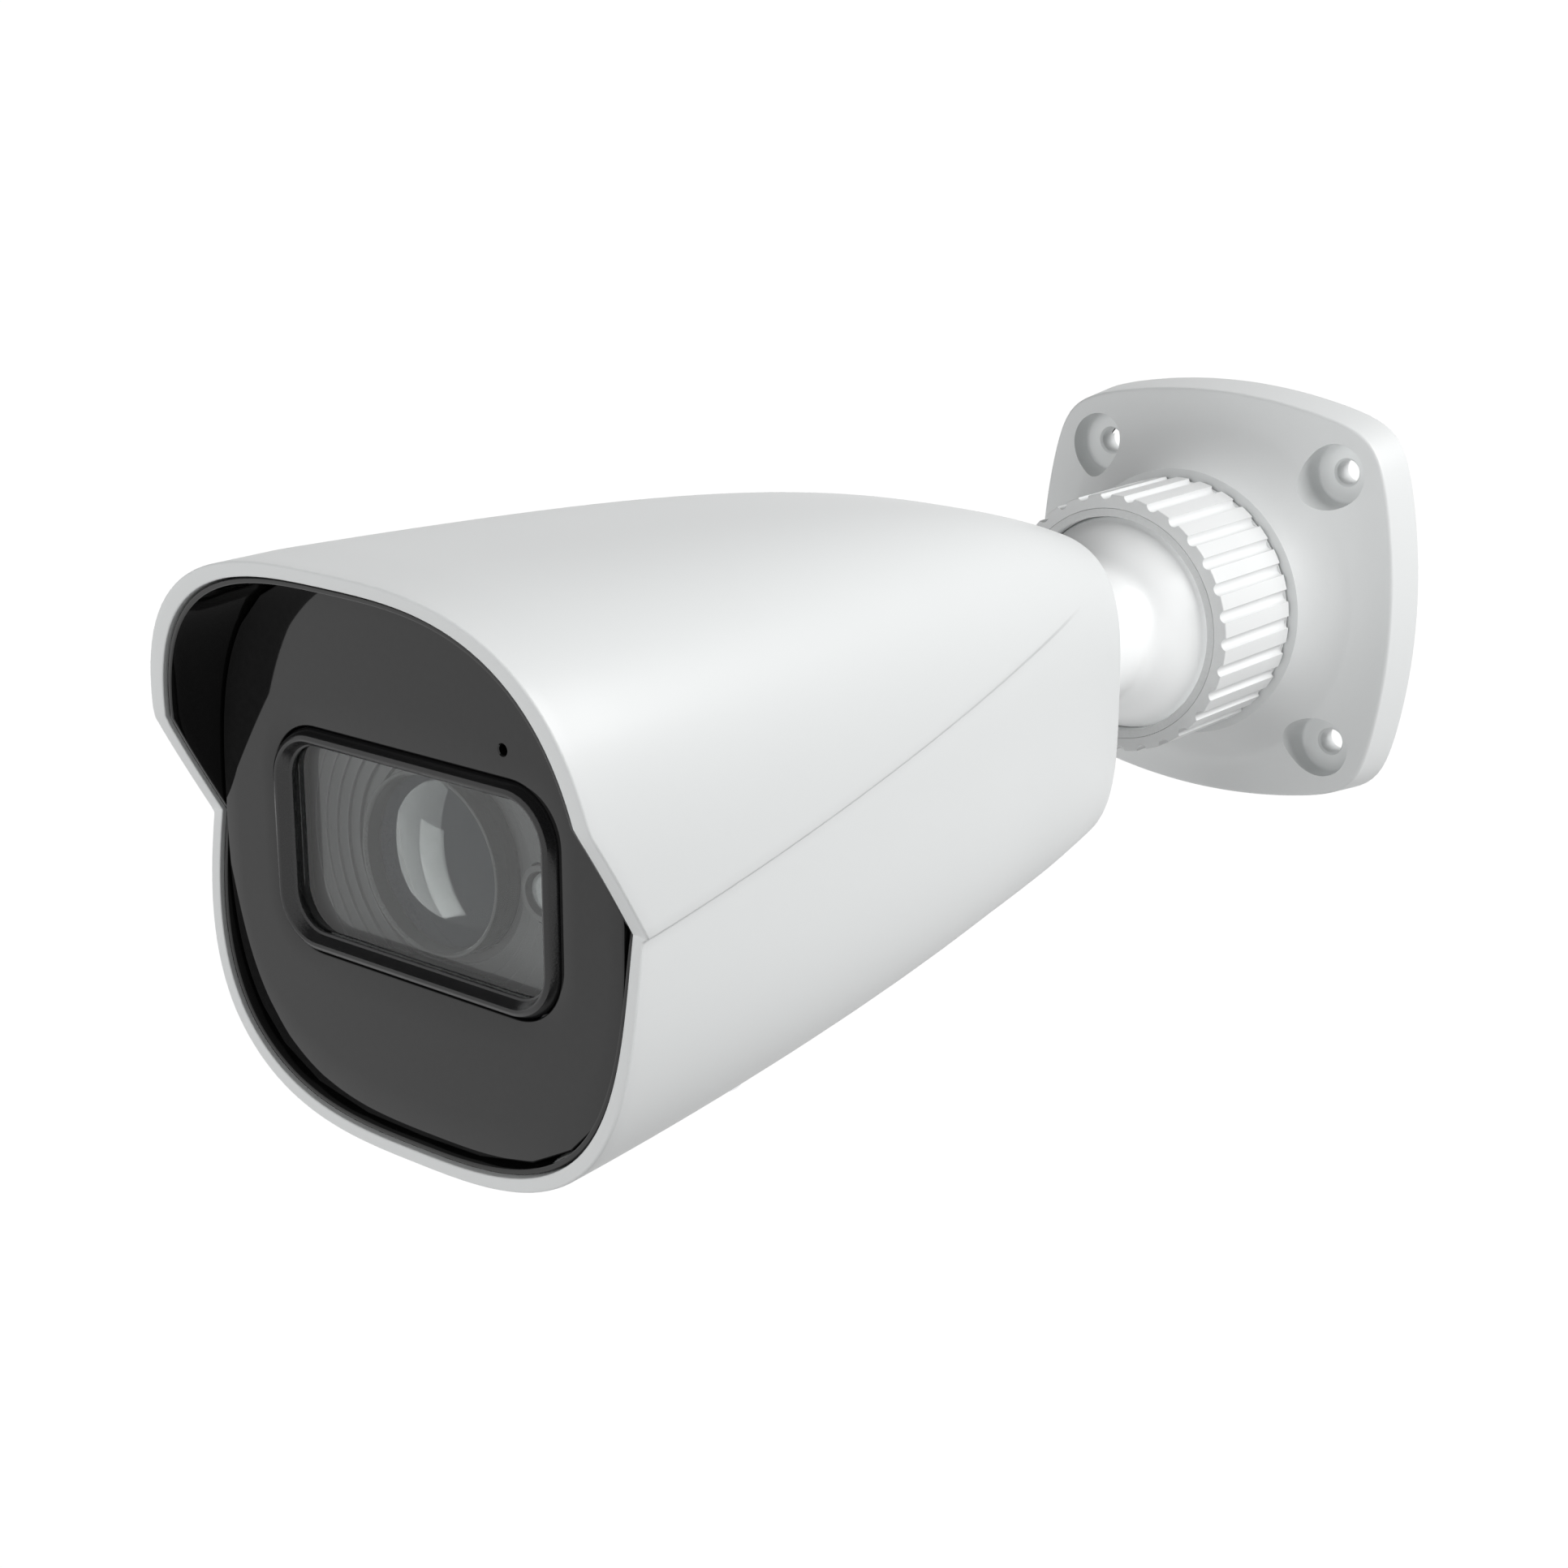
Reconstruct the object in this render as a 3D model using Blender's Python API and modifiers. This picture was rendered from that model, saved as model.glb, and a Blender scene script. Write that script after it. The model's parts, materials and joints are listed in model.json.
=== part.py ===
"""Bullet security camera on a ball bracket: wall plate, lock collar, ball, tapered housing and its works.

Metres, +Z up. The origin is the centre of the wall plate's back face and the camera looks along -Y, so a
distance "ahead" of the wall is -Y. Every dimension below is in millimetres times MM.
"""
import math

import bmesh
import bpy
from mathutils import Matrix, Vector

MM = 0.001
GAP = 0.3 * MM
MERGE = 0.00001

# Wall plate and its boss
PLATE_BACK_HALF = 42.8 * MM
PLATE_FRONT_HALF = 41.6 * MM
PLATE_EXPONENT = 4.4
PLATE_EDGE = 9.5 * MM
BOSS_RADIUS = 27.4 * MM
BOSS_AHEAD = 20.5 * MM
BOSS_RISE_POWER = 2.6
HOLE_SPACING = 56.0 * MM
SCREW_HOLE_RADIUS = 2.5 * MM
COUNTERBORE_RADIUS = 6.35 * MM
COUNTERBORE_FLOOR = 5.0 * MM
THREAD_RADIUS = 23.6 * MM
THREAD_END = 30.6 * MM
CABLE_HOLE_RADIUS = 9.0 * MM
SEAT_POCKET_RADIUS = 21.7 * MM
SEAT_POCKET_FLOOR = 15.0 * MM

# Ball joint
BALL_AHEAD = 36.3 * MM
BALL_RADIUS = 22.3 * MM
SEAT_RADIUS = BALL_RADIUS + GAP
NECK_RADIUS = 13.5 * MM
NECK_END = 92.0 * MM
NECK_FILLET = 4.0 * MM
CABLE_RADIUS = 7.5 * MM

# Lock collar
COLLAR_BACK = 20.8 * MM
COLLAR_LIP_END = 22.2 * MM
COLLAR_FRONT = 45.3 * MM
COLLAR_LIP_RADIUS = 26.7 * MM
COLLAR_RADIUS = 25.9 * MM
COLLAR_BORE = 23.95 * MM
COLLAR_MOUTH = 23.2 * MM
COLLAR_SHOULDER = 40.8 * MM
GROOVE_COUNT = 30
GROOVE_RADIUS = 1.15 * MM

# Housing
BODY_FRONT = 236.0 * MM
BODY_REAR = 78.7 * MM
FRONT_HALF_WIDTH = 47.2 * MM
REAR_HALF_WIDTH = 24.0 * MM
FRONT_TOP = 46.0 * MM
REAR_TOP = 25.4 * MM
FRONT_BOTTOM = -48.8 * MM
REAR_BOTTOM = -34.8 * MM
FRONT_EXPONENT = 3.0
REAR_EXPONENT = 3.4
WALL_SIDE = 3.0 * MM
WALL_HIGH = 2.2 * MM
REAR_WALL = 3.5 * MM
REAR_EDGE_RADIUS = 1.2 * MM
CREASE_START = 233.0 * MM
CREASE_START_Z = -1.4 * MM
CREASE_SLOPE = 0.143
CREASE_DEPTH = 0.9 * MM
CREASE_HEIGHT = 1.1 * MM
CREASE_FADE = (92.0 * MM, 125.0 * MM)
HOOD_REACH = 300.0 * MM
HOOD_LEAN = 0.173
HOOD_KINK = (243.9 * MM, 16.0 * MM)
CHEEK_KINK = (233.4 * MM, -1.6 * MM)
CHIN = (236.1 * MM, -34.0 * MM)
BODY_MID_Z = -1.4 * MM

# Front
PANEL_FRONT = 233.7 * MM
PANEL_BACK = 230.2 * MM
LINER_BACK = 228.3 * MM
LINER_THICKNESS = 0.8 * MM
WINDOW_Z = -1.9 * MM
BEZEL_HALF = (30.1 * MM, 18.0 * MM)
BEZEL_CORNER = 9.0 * MM
BEZEL_FRONT = 235.2 * MM
BEZEL_BACK = 229.5 * MM
GLASS_POCKET = 232.7 * MM
APERTURE_HALF = (27.1 * MM, 14.8 * MM)
APERTURE_CORNER = 4.0 * MM
GLASS_HALF = (28.2 * MM, 16.0 * MM)
GLASS_FACES = (230.9 * MM, 232.4 * MM)
SHROUD_HALF = (29.0 * MM, 17.0 * MM)
SHROUD_FACES = (222.0 * MM, 229.2 * MM)
SHROUD_BORE = 14.9 * MM
SHROUD_STEP = 2.2 * MM
MICROPHONE_AT = (19.8 * MM, 20.6 * MM)
LIGHT_AT = (21.5 * MM, -2.3 * MM)
LED_PLACES = ((-10.0 * MM, 27.0 * MM), (10.0 * MM, 27.0 * MM), (-12.0 * MM, -31.0 * MM), (12.0 * MM, -31.0 * MM))

# Lens drive
GEAR_MODULE = 0.5 * MM
RING_TEETH = 60
PINION_TEETH = 12
RING_BORE = 13.2 * MM
RING_PITCH = GEAR_MODULE * RING_TEETH / 2
PINION_PITCH = GEAR_MODULE * PINION_TEETH / 2
GEAR_CENTRES = RING_PITCH + PINION_PITCH + 0.15 * MM
TOOTH_SECTOR = (math.radians(-100.0), math.radians(12.0))

# Service opening under the body
COVER_HALF = (23.5 * MM, 22.0 * MM)
COVER_CORNER = 5.0 * MM
COVER_AHEAD = 186.0 * MM
COVER_PROUD = 0.8 * MM
COVER_DEPTH = 1.1 * MM
COVER_RECESS = 2.2 * MM - GAP
COVER_OPENING = (15.0 * MM, 16.0 * MM)
COVER_SCREW_X = 20.0 * MM
RESET_AT = (10.5 * MM, -177.0 * MM)
FLOOR_PAD_TOP = -39.8 * MM
FLOOR_PAD_HALF = (27.0 * MM, 25.0 * MM)

MOUTH_STATIONS = (210.0, 236.0, 258.0)
FORWARD = (math.pi / 2, 0.0, 0.0)
SIDEWAYS = (math.pi / 2, 0.0, math.pi / 2)

WHITE = ((0.86, 0.88, 0.88), 0.35, 0.0)
BLACK_GLOSS = ((0.012, 0.012, 0.012), 0.08, 0.0)
BLACK = ((0.02, 0.02, 0.02), 0.4, 0.0)
RUBBER = ((0.03, 0.03, 0.03), 0.8, 0.0)
METAL = ((0.62, 0.63, 0.64), 0.35, 1.0)
POLISHED = ((0.8, 0.8, 0.8), 0.12, 1.0)
BOARD = ((0.02, 0.16, 0.07), 0.45, 0.0)
GLASS = ((0.2, 0.22, 0.24), 0.03, 0.0)
GREY = ((0.35, 0.36, 0.37), 0.5, 0.0)
BRASS = ((0.75, 0.55, 0.25), 0.3, 1.0)


def clear_scene():
    for obj in list(bpy.data.objects):
        bpy.data.objects.remove(obj, do_unlink=True)
    for collection in list(bpy.data.collections):
        bpy.data.collections.remove(collection)


def new_collection(name):
    collection = bpy.data.collections.new(name)
    bpy.context.scene.collection.children.link(collection)
    return collection


def add_mesh(name, mesh, collection):
    obj = bpy.data.objects.new(name, mesh)
    collection.objects.link(obj)
    return obj


def finish(obj, look, smooth=True):
    """Give the object its own material and its shading."""
    colour, roughness, metallic = look
    material = bpy.data.materials.new(obj.name + "_finish")
    material.use_nodes = True
    shader = material.node_tree.nodes["Principled BSDF"]
    shader.inputs["Base Color"].default_value = (*colour, 1.0)
    shader.inputs["Roughness"].default_value = roughness
    shader.inputs["Metallic"].default_value = metallic
    obj.data.materials.append(material)
    if smooth and obj.type == "MESH":
        obj.data.shade_smooth()
        obj.data.set_sharp_from_angle(angle=math.radians(32.0))
    return obj


def turned(name, profile, at=(0.0, 0.0, 0.0), steps=40, closed=True):
    """Revolve (radius, ahead) points, given front to back on the outer side, about a line along -Y."""
    mesh = bpy.data.meshes.new(name)
    points = [(radius, 0.0, ahead) for radius, ahead in profile]
    edges = [(i, i + 1) for i in range(len(points) - 1)]
    if closed:
        edges.append((len(points) - 1, 0))
    mesh.from_pydata(points, edges, [])
    obj = add_mesh(name, mesh, PARTS)
    obj.location = at
    obj.rotation_euler = FORWARD
    screw = obj.modifiers.new("turn", "SCREW")
    screw.steps = steps
    screw.render_steps = steps
    screw.use_merge_vertices = True
    screw.merge_threshold = MERGE
    screw.use_normal_calculate = False
    return bake(obj)


def bake(obj):
    """Replace an object's data with its evaluated mesh, so that it can be shaded and cut."""
    bpy.context.view_layer.update()
    graph = bpy.context.evaluated_depsgraph_get()
    mesh = bpy.data.meshes.new_from_object(obj.evaluated_get(graph))
    work = bmesh.new()
    work.from_mesh(mesh)
    bmesh.ops.remove_doubles(work, verts=work.verts, dist=MERGE)
    work.to_mesh(mesh)
    work.free()
    if obj.type == "MESH":
        obj.modifiers.clear()
        obj.data = mesh
        return obj
    name = obj.name
    placed = obj.matrix_world.copy()
    bpy.data.objects.remove(obj, do_unlink=True)
    solid = add_mesh(name, mesh, PARTS)
    solid.matrix_world = placed
    return solid


def slab(name, outlines, low, high, turn=FORWARD, at=(0.0, 0.0)):
    """A flat piece from closed outlines, the first one its edge and the rest its holes."""
    curve = bpy.data.curves.new(name, "CURVE")
    curve.dimensions = "2D"
    curve.fill_mode = "BOTH"
    curve.extrude = (high - low) / 2
    for outline in outlines:
        spline = curve.splines.new("POLY")
        spline.points.add(len(outline) - 1)
        for point, (x, y) in zip(spline.points, outline):
            point.co = (x, y, 0.0, 1.0)
        spline.use_cyclic_u = True
    obj = bpy.data.objects.new(name, curve)
    PARTS.objects.link(obj)
    obj.rotation_euler = turn
    middle = (low + high) / 2
    if turn == FORWARD:
        obj.location = (at[0], -middle, at[1])
    elif turn == SIDEWAYS:
        obj.location = (middle, at[0], at[1])
    else:
        obj.location = (at[0], at[1], middle)
    return bake(obj)


def box(name, low, high, bevel=0.0):
    """A block between two corners, its edges rounded where bevel is given."""
    mesh = bpy.data.meshes.new(name)
    work = bmesh.new()
    bmesh.ops.create_cube(work, size=1.0)
    low, high = Vector(low), Vector(high)
    size = high - low
    bmesh.ops.transform(work, matrix=Matrix.Diagonal((*size, 1.0)), verts=work.verts)
    work.to_mesh(mesh)
    work.free()
    obj = add_mesh(name, mesh, PARTS)
    obj.location = (low + high) / 2
    if bevel:
        rounding = obj.modifiers.new("edges", "BEVEL")
        rounding.width = bevel
        rounding.segments = 2
    return obj


def loft(name, rings):
    """A closed skin over rings of equal point counts, given back to front, each anticlockwise from the front."""
    mesh = bpy.data.meshes.new(name)
    work = bmesh.new()
    rows = [[work.verts.new(point) for point in ring] for ring in rings]
    count = len(rings[0])
    for lower, upper in zip(rows, rows[1:]):
        for i in range(count):
            j = (i + 1) % count
            work.faces.new((lower[i], lower[j], upper[j], upper[i]))
    work.faces.new(list(reversed(rows[0])))
    work.faces.new(rows[-1])
    work.to_mesh(mesh)
    work.free()
    return add_mesh(name, mesh, PARTS)


def combine(target, tool, operation="DIFFERENCE"):
    """Cut, fuse or intersect the target with a tool, which moves to the collection of cutters."""
    modifier = target.modifiers.new(operation.lower(), "BOOLEAN")
    modifier.operation = operation
    modifier.solver = "EXACT"
    modifier.object = tool
    PARTS.objects.unlink(tool)
    CUTTERS.objects.link(tool)
    tool.hide_render = True
    tool.display_type = "WIRE"
    return target


def circle(radius, count=32, centre=(0.0, 0.0)):
    return [(centre[0] + radius * math.cos(2 * math.pi * i / count),
             centre[1] + radius * math.sin(2 * math.pi * i / count)) for i in range(count)]


def rounded_rectangle(half_x, half_y, corner, centre=(0.0, 0.0), steps=6):
    points = []
    for quarter, (sx, sy) in enumerate(((1, 1), (-1, 1), (-1, -1), (1, -1))):
        for i in range(steps + 1):
            angle = math.pi / 2 * (quarter + i / steps)
            points.append((centre[0] + sx * (half_x - corner) + corner * math.cos(angle),
                           centre[1] + sy * (half_y - corner) + corner * math.sin(angle)))
    return points


def superellipse(half_x, half_y, exponent, centre=(0.0, 0.0), count=48):
    points = []
    for i in range(count):
        angle = 2 * math.pi * i / count
        c, s = math.cos(angle), math.sin(angle)
        points.append((centre[0] + half_x * math.copysign(abs(c) ** (2 / exponent), c),
                       centre[1] + half_y * math.copysign(abs(s) ** (2 / exponent), s)))
    return points


def arc(radius, centre_ahead, start, end, count):
    """Points (radius, ahead) on a sphere's outline, angles in degrees from straight ahead."""
    points = []
    for i in range(count + 1):
        angle = math.radians(start + (end - start) * i / count)
        points.append((radius * math.sin(angle), centre_ahead + radius * math.cos(angle)))
    return points


def sphere_angle(radius, sphere):
    """Angle from straight ahead, in degrees, where a sphere's outline has the given radius."""
    return math.degrees(math.asin(radius / sphere))


# ---- housing shape -------------------------------------------------------------------------------------------

def body_shape(ahead):
    """Half width, top, bottom and exponent of the housing's section."""
    t = min(1.0, max(0.0, (BODY_FRONT - ahead) / (BODY_FRONT - BODY_REAR)))
    half_width = FRONT_HALF_WIDTH + (REAR_HALF_WIDTH - FRONT_HALF_WIDTH) * t ** 1.7
    top = FRONT_TOP + (REAR_TOP - FRONT_TOP) * (0.36 * t + 0.64 * t ** 3.93)
    bottom = FRONT_BOTTOM + (REAR_BOTTOM - FRONT_BOTTOM) * (0.76 * t + 0.24 * t ** 4.08)
    return half_width, top, bottom, FRONT_EXPONENT + (REAR_EXPONENT - FRONT_EXPONENT) * t


def section_angle(z, mid, half_height, exponent):
    """The superellipse parameter at height z."""
    u = max(-1.0, min(1.0, (z - mid) / half_height))
    return math.asin(math.copysign(abs(u) ** (exponent / 2), u))


def crease_depth(ahead):
    start, full = CREASE_FADE
    u = min(1.0, max(0.0, (ahead - start) / (full - start)))
    return CREASE_DEPTH * u * u * (3 - 2 * u)


def body_ring(ahead, inset_side=0.0, inset_high=0.0, arc_points=25, creased=True):
    """One section of the housing: an upper arc between the creases and a slightly narrower lower arc."""
    half_width, top, bottom, exponent = body_shape(ahead)
    half_width -= inset_side
    mid = (top + bottom) / 2
    half_height = (top - bottom) / 2 - inset_high
    crease_z = CREASE_START_Z + CREASE_SLOPE * (CREASE_START - ahead)
    depth = crease_depth(ahead) if creased else 0.0
    upper = section_angle(crease_z, mid, half_height, exponent)
    lower = section_angle(crease_z - CREASE_HEIGHT, mid, half_height, exponent)
    arcs = ((upper, math.pi - upper, half_width), (math.pi - lower, 2 * math.pi + lower, half_width - depth))
    ring = []
    for start, end, width in arcs:
        for i in range(arc_points):
            angle = start + (end - start) * i / (arc_points - 1)
            c, s = math.cos(angle), math.sin(angle)
            ring.append((width * math.copysign(abs(c) ** (2 / exponent), c), -ahead,
                         mid + half_height * math.copysign(abs(s) ** (2 / exponent), s)))
    return ring


def body_bottom(x, ahead):
    """Height of the housing's underside at x."""
    half_width, top, bottom, exponent = body_shape(ahead)
    half_width -= crease_depth(ahead)
    mid, half_height = (top + bottom) / 2, (top - bottom) / 2
    return mid - half_height * (1 - abs(x / half_width) ** exponent) ** (1 / exponent)


def front_profile(shift, reach=HOOD_REACH):
    """Side outline of the space ahead of the hood, cheeks and chin, moved back by shift."""
    top = 60.0 * MM
    lean = HOOD_KINK[0] + HOOD_LEAN * (top - HOOD_KINK[1])
    edge = [(lean, top), HOOD_KINK, CHEEK_KINK]
    for i in range(1, 5):
        u = i / 4
        edge.append((CHEEK_KINK[0] + (CHIN[0] - CHEEK_KINK[0]) * (1 - (1 - u) ** 2),
                     CHEEK_KINK[1] + (CHIN[1] - CHEEK_KINK[1]) * u))
    edge.append((CHIN[0] - 0.6 * MM, -top))
    return [(-ahead + shift, z) for ahead, z in edge] + [(-reach, -top), (-reach, top)]


def front_space(name, shift=0.0):
    width = 60.0 * MM
    return slab(name, [front_profile(shift)], -width, width, SIDEWAYS)


def cover_prism(name, grow, low=-60.0 * MM, high=-30.0 * MM):
    outline = rounded_rectangle(COVER_HALF[0] + grow, COVER_HALF[1] + grow, COVER_CORNER)
    return slab(name, [outline], low, high, (0.0, 0.0, 0.0), (0.0, -COVER_AHEAD))


def body_solid(name, stations, inset_side, inset_high, arc_points=25, creased=True):
    rings = [body_ring(ahead * MM, inset_side, inset_high, arc_points, creased) for ahead in stations]
    return loft(name, rings)


def make_main_shell():
    stations = (84.0, 90.0, 98.0, 108.0, 120.0, 134.0, 150.0, 168.0, 188.0, 210.0, 236.0, 256.0)
    rings = [body_ring(BODY_REAR, REAR_EDGE_RADIUS, REAR_EDGE_RADIUS),
             body_ring(BODY_REAR + 0.3 * REAR_EDGE_RADIUS, 0.35 * REAR_EDGE_RADIUS, 0.35 * REAR_EDGE_RADIUS),
             body_ring(BODY_REAR + REAR_EDGE_RADIUS)]
    rings += [body_ring(ahead * MM) for ahead in stations]
    shell = loft("main_shell", rings)
    hollow_stations = ((BODY_REAR + REAR_WALL) / MM, 92.0, 105.0, 125.0, 150.0, 180.0, 210.0, 236.0, 258.0)
    hollow = body_solid("shell_hollow", hollow_stations, WALL_SIDE, WALL_HIGH, 19, False)
    pad = box("floor_pad", (-FLOOR_PAD_HALF[0], -COVER_AHEAD - FLOOR_PAD_HALF[1], -60 * MM),
              (FLOOR_PAD_HALF[0], -COVER_AHEAD + FLOOR_PAD_HALF[1], FLOOR_PAD_TOP))
    combine(hollow, pad)
    combine(shell, hollow)
    combine(shell, front_space("hood_front_space"))
    hole = slab("neck_hole", [circle(NECK_RADIUS + GAP)], BODY_REAR - 5 * MM, BODY_REAR + 10 * MM)
    combine(shell, hole)
    recess = cover_prism("cover_recess", GAP)
    floor = body_solid("cover_recess_floor", (150.0, 165.0, 180.0, 195.0, 210.0, 225.0), COVER_RECESS, COVER_RECESS)
    combine(recess, floor)
    combine(shell, recess)
    opening = box("service_opening", (-COVER_OPENING[0], -COVER_AHEAD - COVER_OPENING[1], -60 * MM),
                  (COVER_OPENING[0], -COVER_AHEAD + COVER_OPENING[1], -30 * MM))
    combine(shell, opening)
    for side in (-1, 1):
        hole = slab("cover_screw_hole", [circle(1.7 * MM, 12)], -60 * MM, -30 * MM, (0.0, 0.0, 0.0),
                    (side * COVER_SCREW_X, -COVER_AHEAD))
        combine(shell, hole)
    return finish(bake(shell), WHITE)


def make_hood_liner():
    outer = body_solid("hood_liner", MOUTH_STATIONS, WALL_SIDE + GAP, WALL_HIGH + GAP, 19, False)
    inner_inset = GAP + LINER_THICKNESS
    inner = body_solid("liner_hollow", MOUTH_STATIONS, WALL_SIDE + inner_inset, WALL_HIGH + inner_inset, 19, False)
    combine(outer, inner)
    combine(outer, slab("liner_back_space", [rounded_rectangle(60 * MM, 60 * MM, 1 * MM)], 200 * MM, LINER_BACK))
    combine(outer, front_space("liner_front_space", 0.6 * MM))
    return finish(bake(outer), BLACK_GLOSS)


def trimmed(name, holes, back, front, inset):
    """A flat piece across the housing's mouth, its edge following the housing's inside at the inset."""
    reach = 60 * MM
    piece = slab(name, [rounded_rectangle(reach, reach, 1 * MM)] + holes, back, front)
    edge = body_solid(name + "_edge", MOUTH_STATIONS, WALL_SIDE + inset, WALL_HIGH + inset, 19, False)
    return bake(combine(piece, edge, "INTERSECT"))


def window_outline(half, corner, grow=0.0):
    return rounded_rectangle(half[0] + grow, half[1] + grow, corner + grow, (0.0, WINDOW_Z))


def make_front():
    pinhole = circle(0.7 * MM, 12, MICROPHONE_AT)
    lined = 2 * GAP + LINER_THICKNESS
    panel = trimmed("front_panel", [window_outline(BEZEL_HALF, BEZEL_CORNER, GAP), pinhole], PANEL_BACK, PANEL_FRONT,
                    lined)
    finish(panel, BLACK_GLOSS)

    bezel = slab("window_bezel", [window_outline(BEZEL_HALF, BEZEL_CORNER),
                                  window_outline(APERTURE_HALF, APERTURE_CORNER)], BEZEL_BACK, BEZEL_FRONT)
    pocket = slab("glass_pocket", [window_outline(GLASS_HALF, APERTURE_CORNER, GAP)],
                  BEZEL_BACK - 1 * MM, GLASS_POCKET)
    combine(bezel, pocket)
    finish(bake(bezel), BLACK)

    glass = slab("window_glass", [window_outline(GLASS_HALF, APERTURE_CORNER)], *GLASS_FACES)
    finish(glass, GLASS)

    seal = trimmed("front_seal", [superellipse(37.5 * MM, 38.5 * MM, FRONT_EXPONENT, (0.0, BODY_MID_Z), 40)],
                   LINER_BACK, PANEL_BACK - GAP, lined)
    finish(seal, RUBBER)

    openings = [circle(5.0 * MM, 16, place) for place in LED_PLACES]
    openings.append(circle(3.5 * MM, 16, MICROPHONE_AT))
    frame = trimmed("front_frame", [window_outline(SHROUD_HALF, 3 * MM, 0.4 * MM)] + openings,
                    226 * MM, 228 * MM, 2 * GAP)
    finish(frame, METAL)

    microphone = turned("microphone", [(0.0, 229.7 * MM), (3.0 * MM, 229.7 * MM), (3.0 * MM, 225.0 * MM),
                                       (0.0, 225.0 * MM)], (MICROPHONE_AT[0], 0.0, MICROPHONE_AT[1]), 16, False)
    finish(microphone, METAL)

    board_edge = superellipse(38 * MM, 38 * MM, FRONT_EXPONENT, (0.0, BODY_MID_Z), 32)
    board = slab("ir_led_board", [board_edge, window_outline(SHROUD_HALF, 3 * MM, 2 * MM)], 222.4 * MM, 224 * MM)
    finish(board, BOARD)
    for number, (x, z) in enumerate(LED_PLACES, 1):
        led = turned(f"ir_led_{number}", [(0.0, 227.4 * MM), (1.4 * MM, 227.1 * MM), (2.4 * MM, 226.2 * MM),
                                          (2.8 * MM, 224.9 * MM), (2.8 * MM, 224.3 * MM), (0.0, 224.3 * MM)],
                     (x, 0.0, z), 16, False)
        finish(led, GREY)


def make_lens_shroud():
    back, front = SHROUD_FACES
    profile = [(34 * MM, front), (34 * MM, back), (SHROUD_BORE, back)]
    radius, level = SHROUD_BORE, front - 3.2 * MM
    profile.append((radius, level))
    while radius < 28 * MM:
        radius += SHROUD_STEP - 0.5 * MM
        profile.append((radius, level))
        radius += 0.5 * MM
        level += 0.45 * MM
        profile.append((radius, level))
    profile[-1] = (radius, front)
    shroud = turned("lens_shroud", profile, (0.0, 0.0, WINDOW_Z), 32)
    edge = slab("shroud_edge", [window_outline(SHROUD_HALF, 3 * MM)], back - 2 * MM, front + 2 * MM)
    combine(shroud, edge, "INTERSECT")
    pocket = slab("light_pocket", [circle(4.8 * MM, 24, LIGHT_AT)], back - 3 * MM, front + 3 * MM)
    combine(shroud, pocket)
    finish(bake(shroud), BLACK)
    light = turned("light_led", [(0.0, 227.2 * MM), (3.2 * MM, 227.2 * MM), (3.3 * MM, 228.2 * MM),
                                 (4.4 * MM, 228.2 * MM), (4.4 * MM, 223 * MM), (0.0, 223 * MM)],
                   (LIGHT_AT[0], 0.0, LIGHT_AT[1]), 24, False)
    finish(light, GREY)


def gear_outline(teeth, phase, sector=None):
    """Outline of a spur gear with straight-flanked teeth, a tooth centred at phase."""
    pitch = GEAR_MODULE * teeth / 2
    root, tip = pitch - 1.25 * GEAR_MODULE, pitch + 0.85 * GEAR_MODULE
    step = 2 * math.pi / teeth
    points = []
    for i in range(teeth):
        centre = phase + i * step
        turn = (centre - phase + math.pi) % (2 * math.pi) - math.pi
        if sector and not sector[0] <= turn <= sector[1]:
            points.append((root * math.cos(centre), root * math.sin(centre)))
            continue
        for radius, offset in ((root, -0.30), (tip, -0.12), (tip, 0.12), (root, 0.30)):
            angle = centre + offset * step
            points.append((radius * math.cos(angle), radius * math.sin(angle)))
    return points


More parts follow.
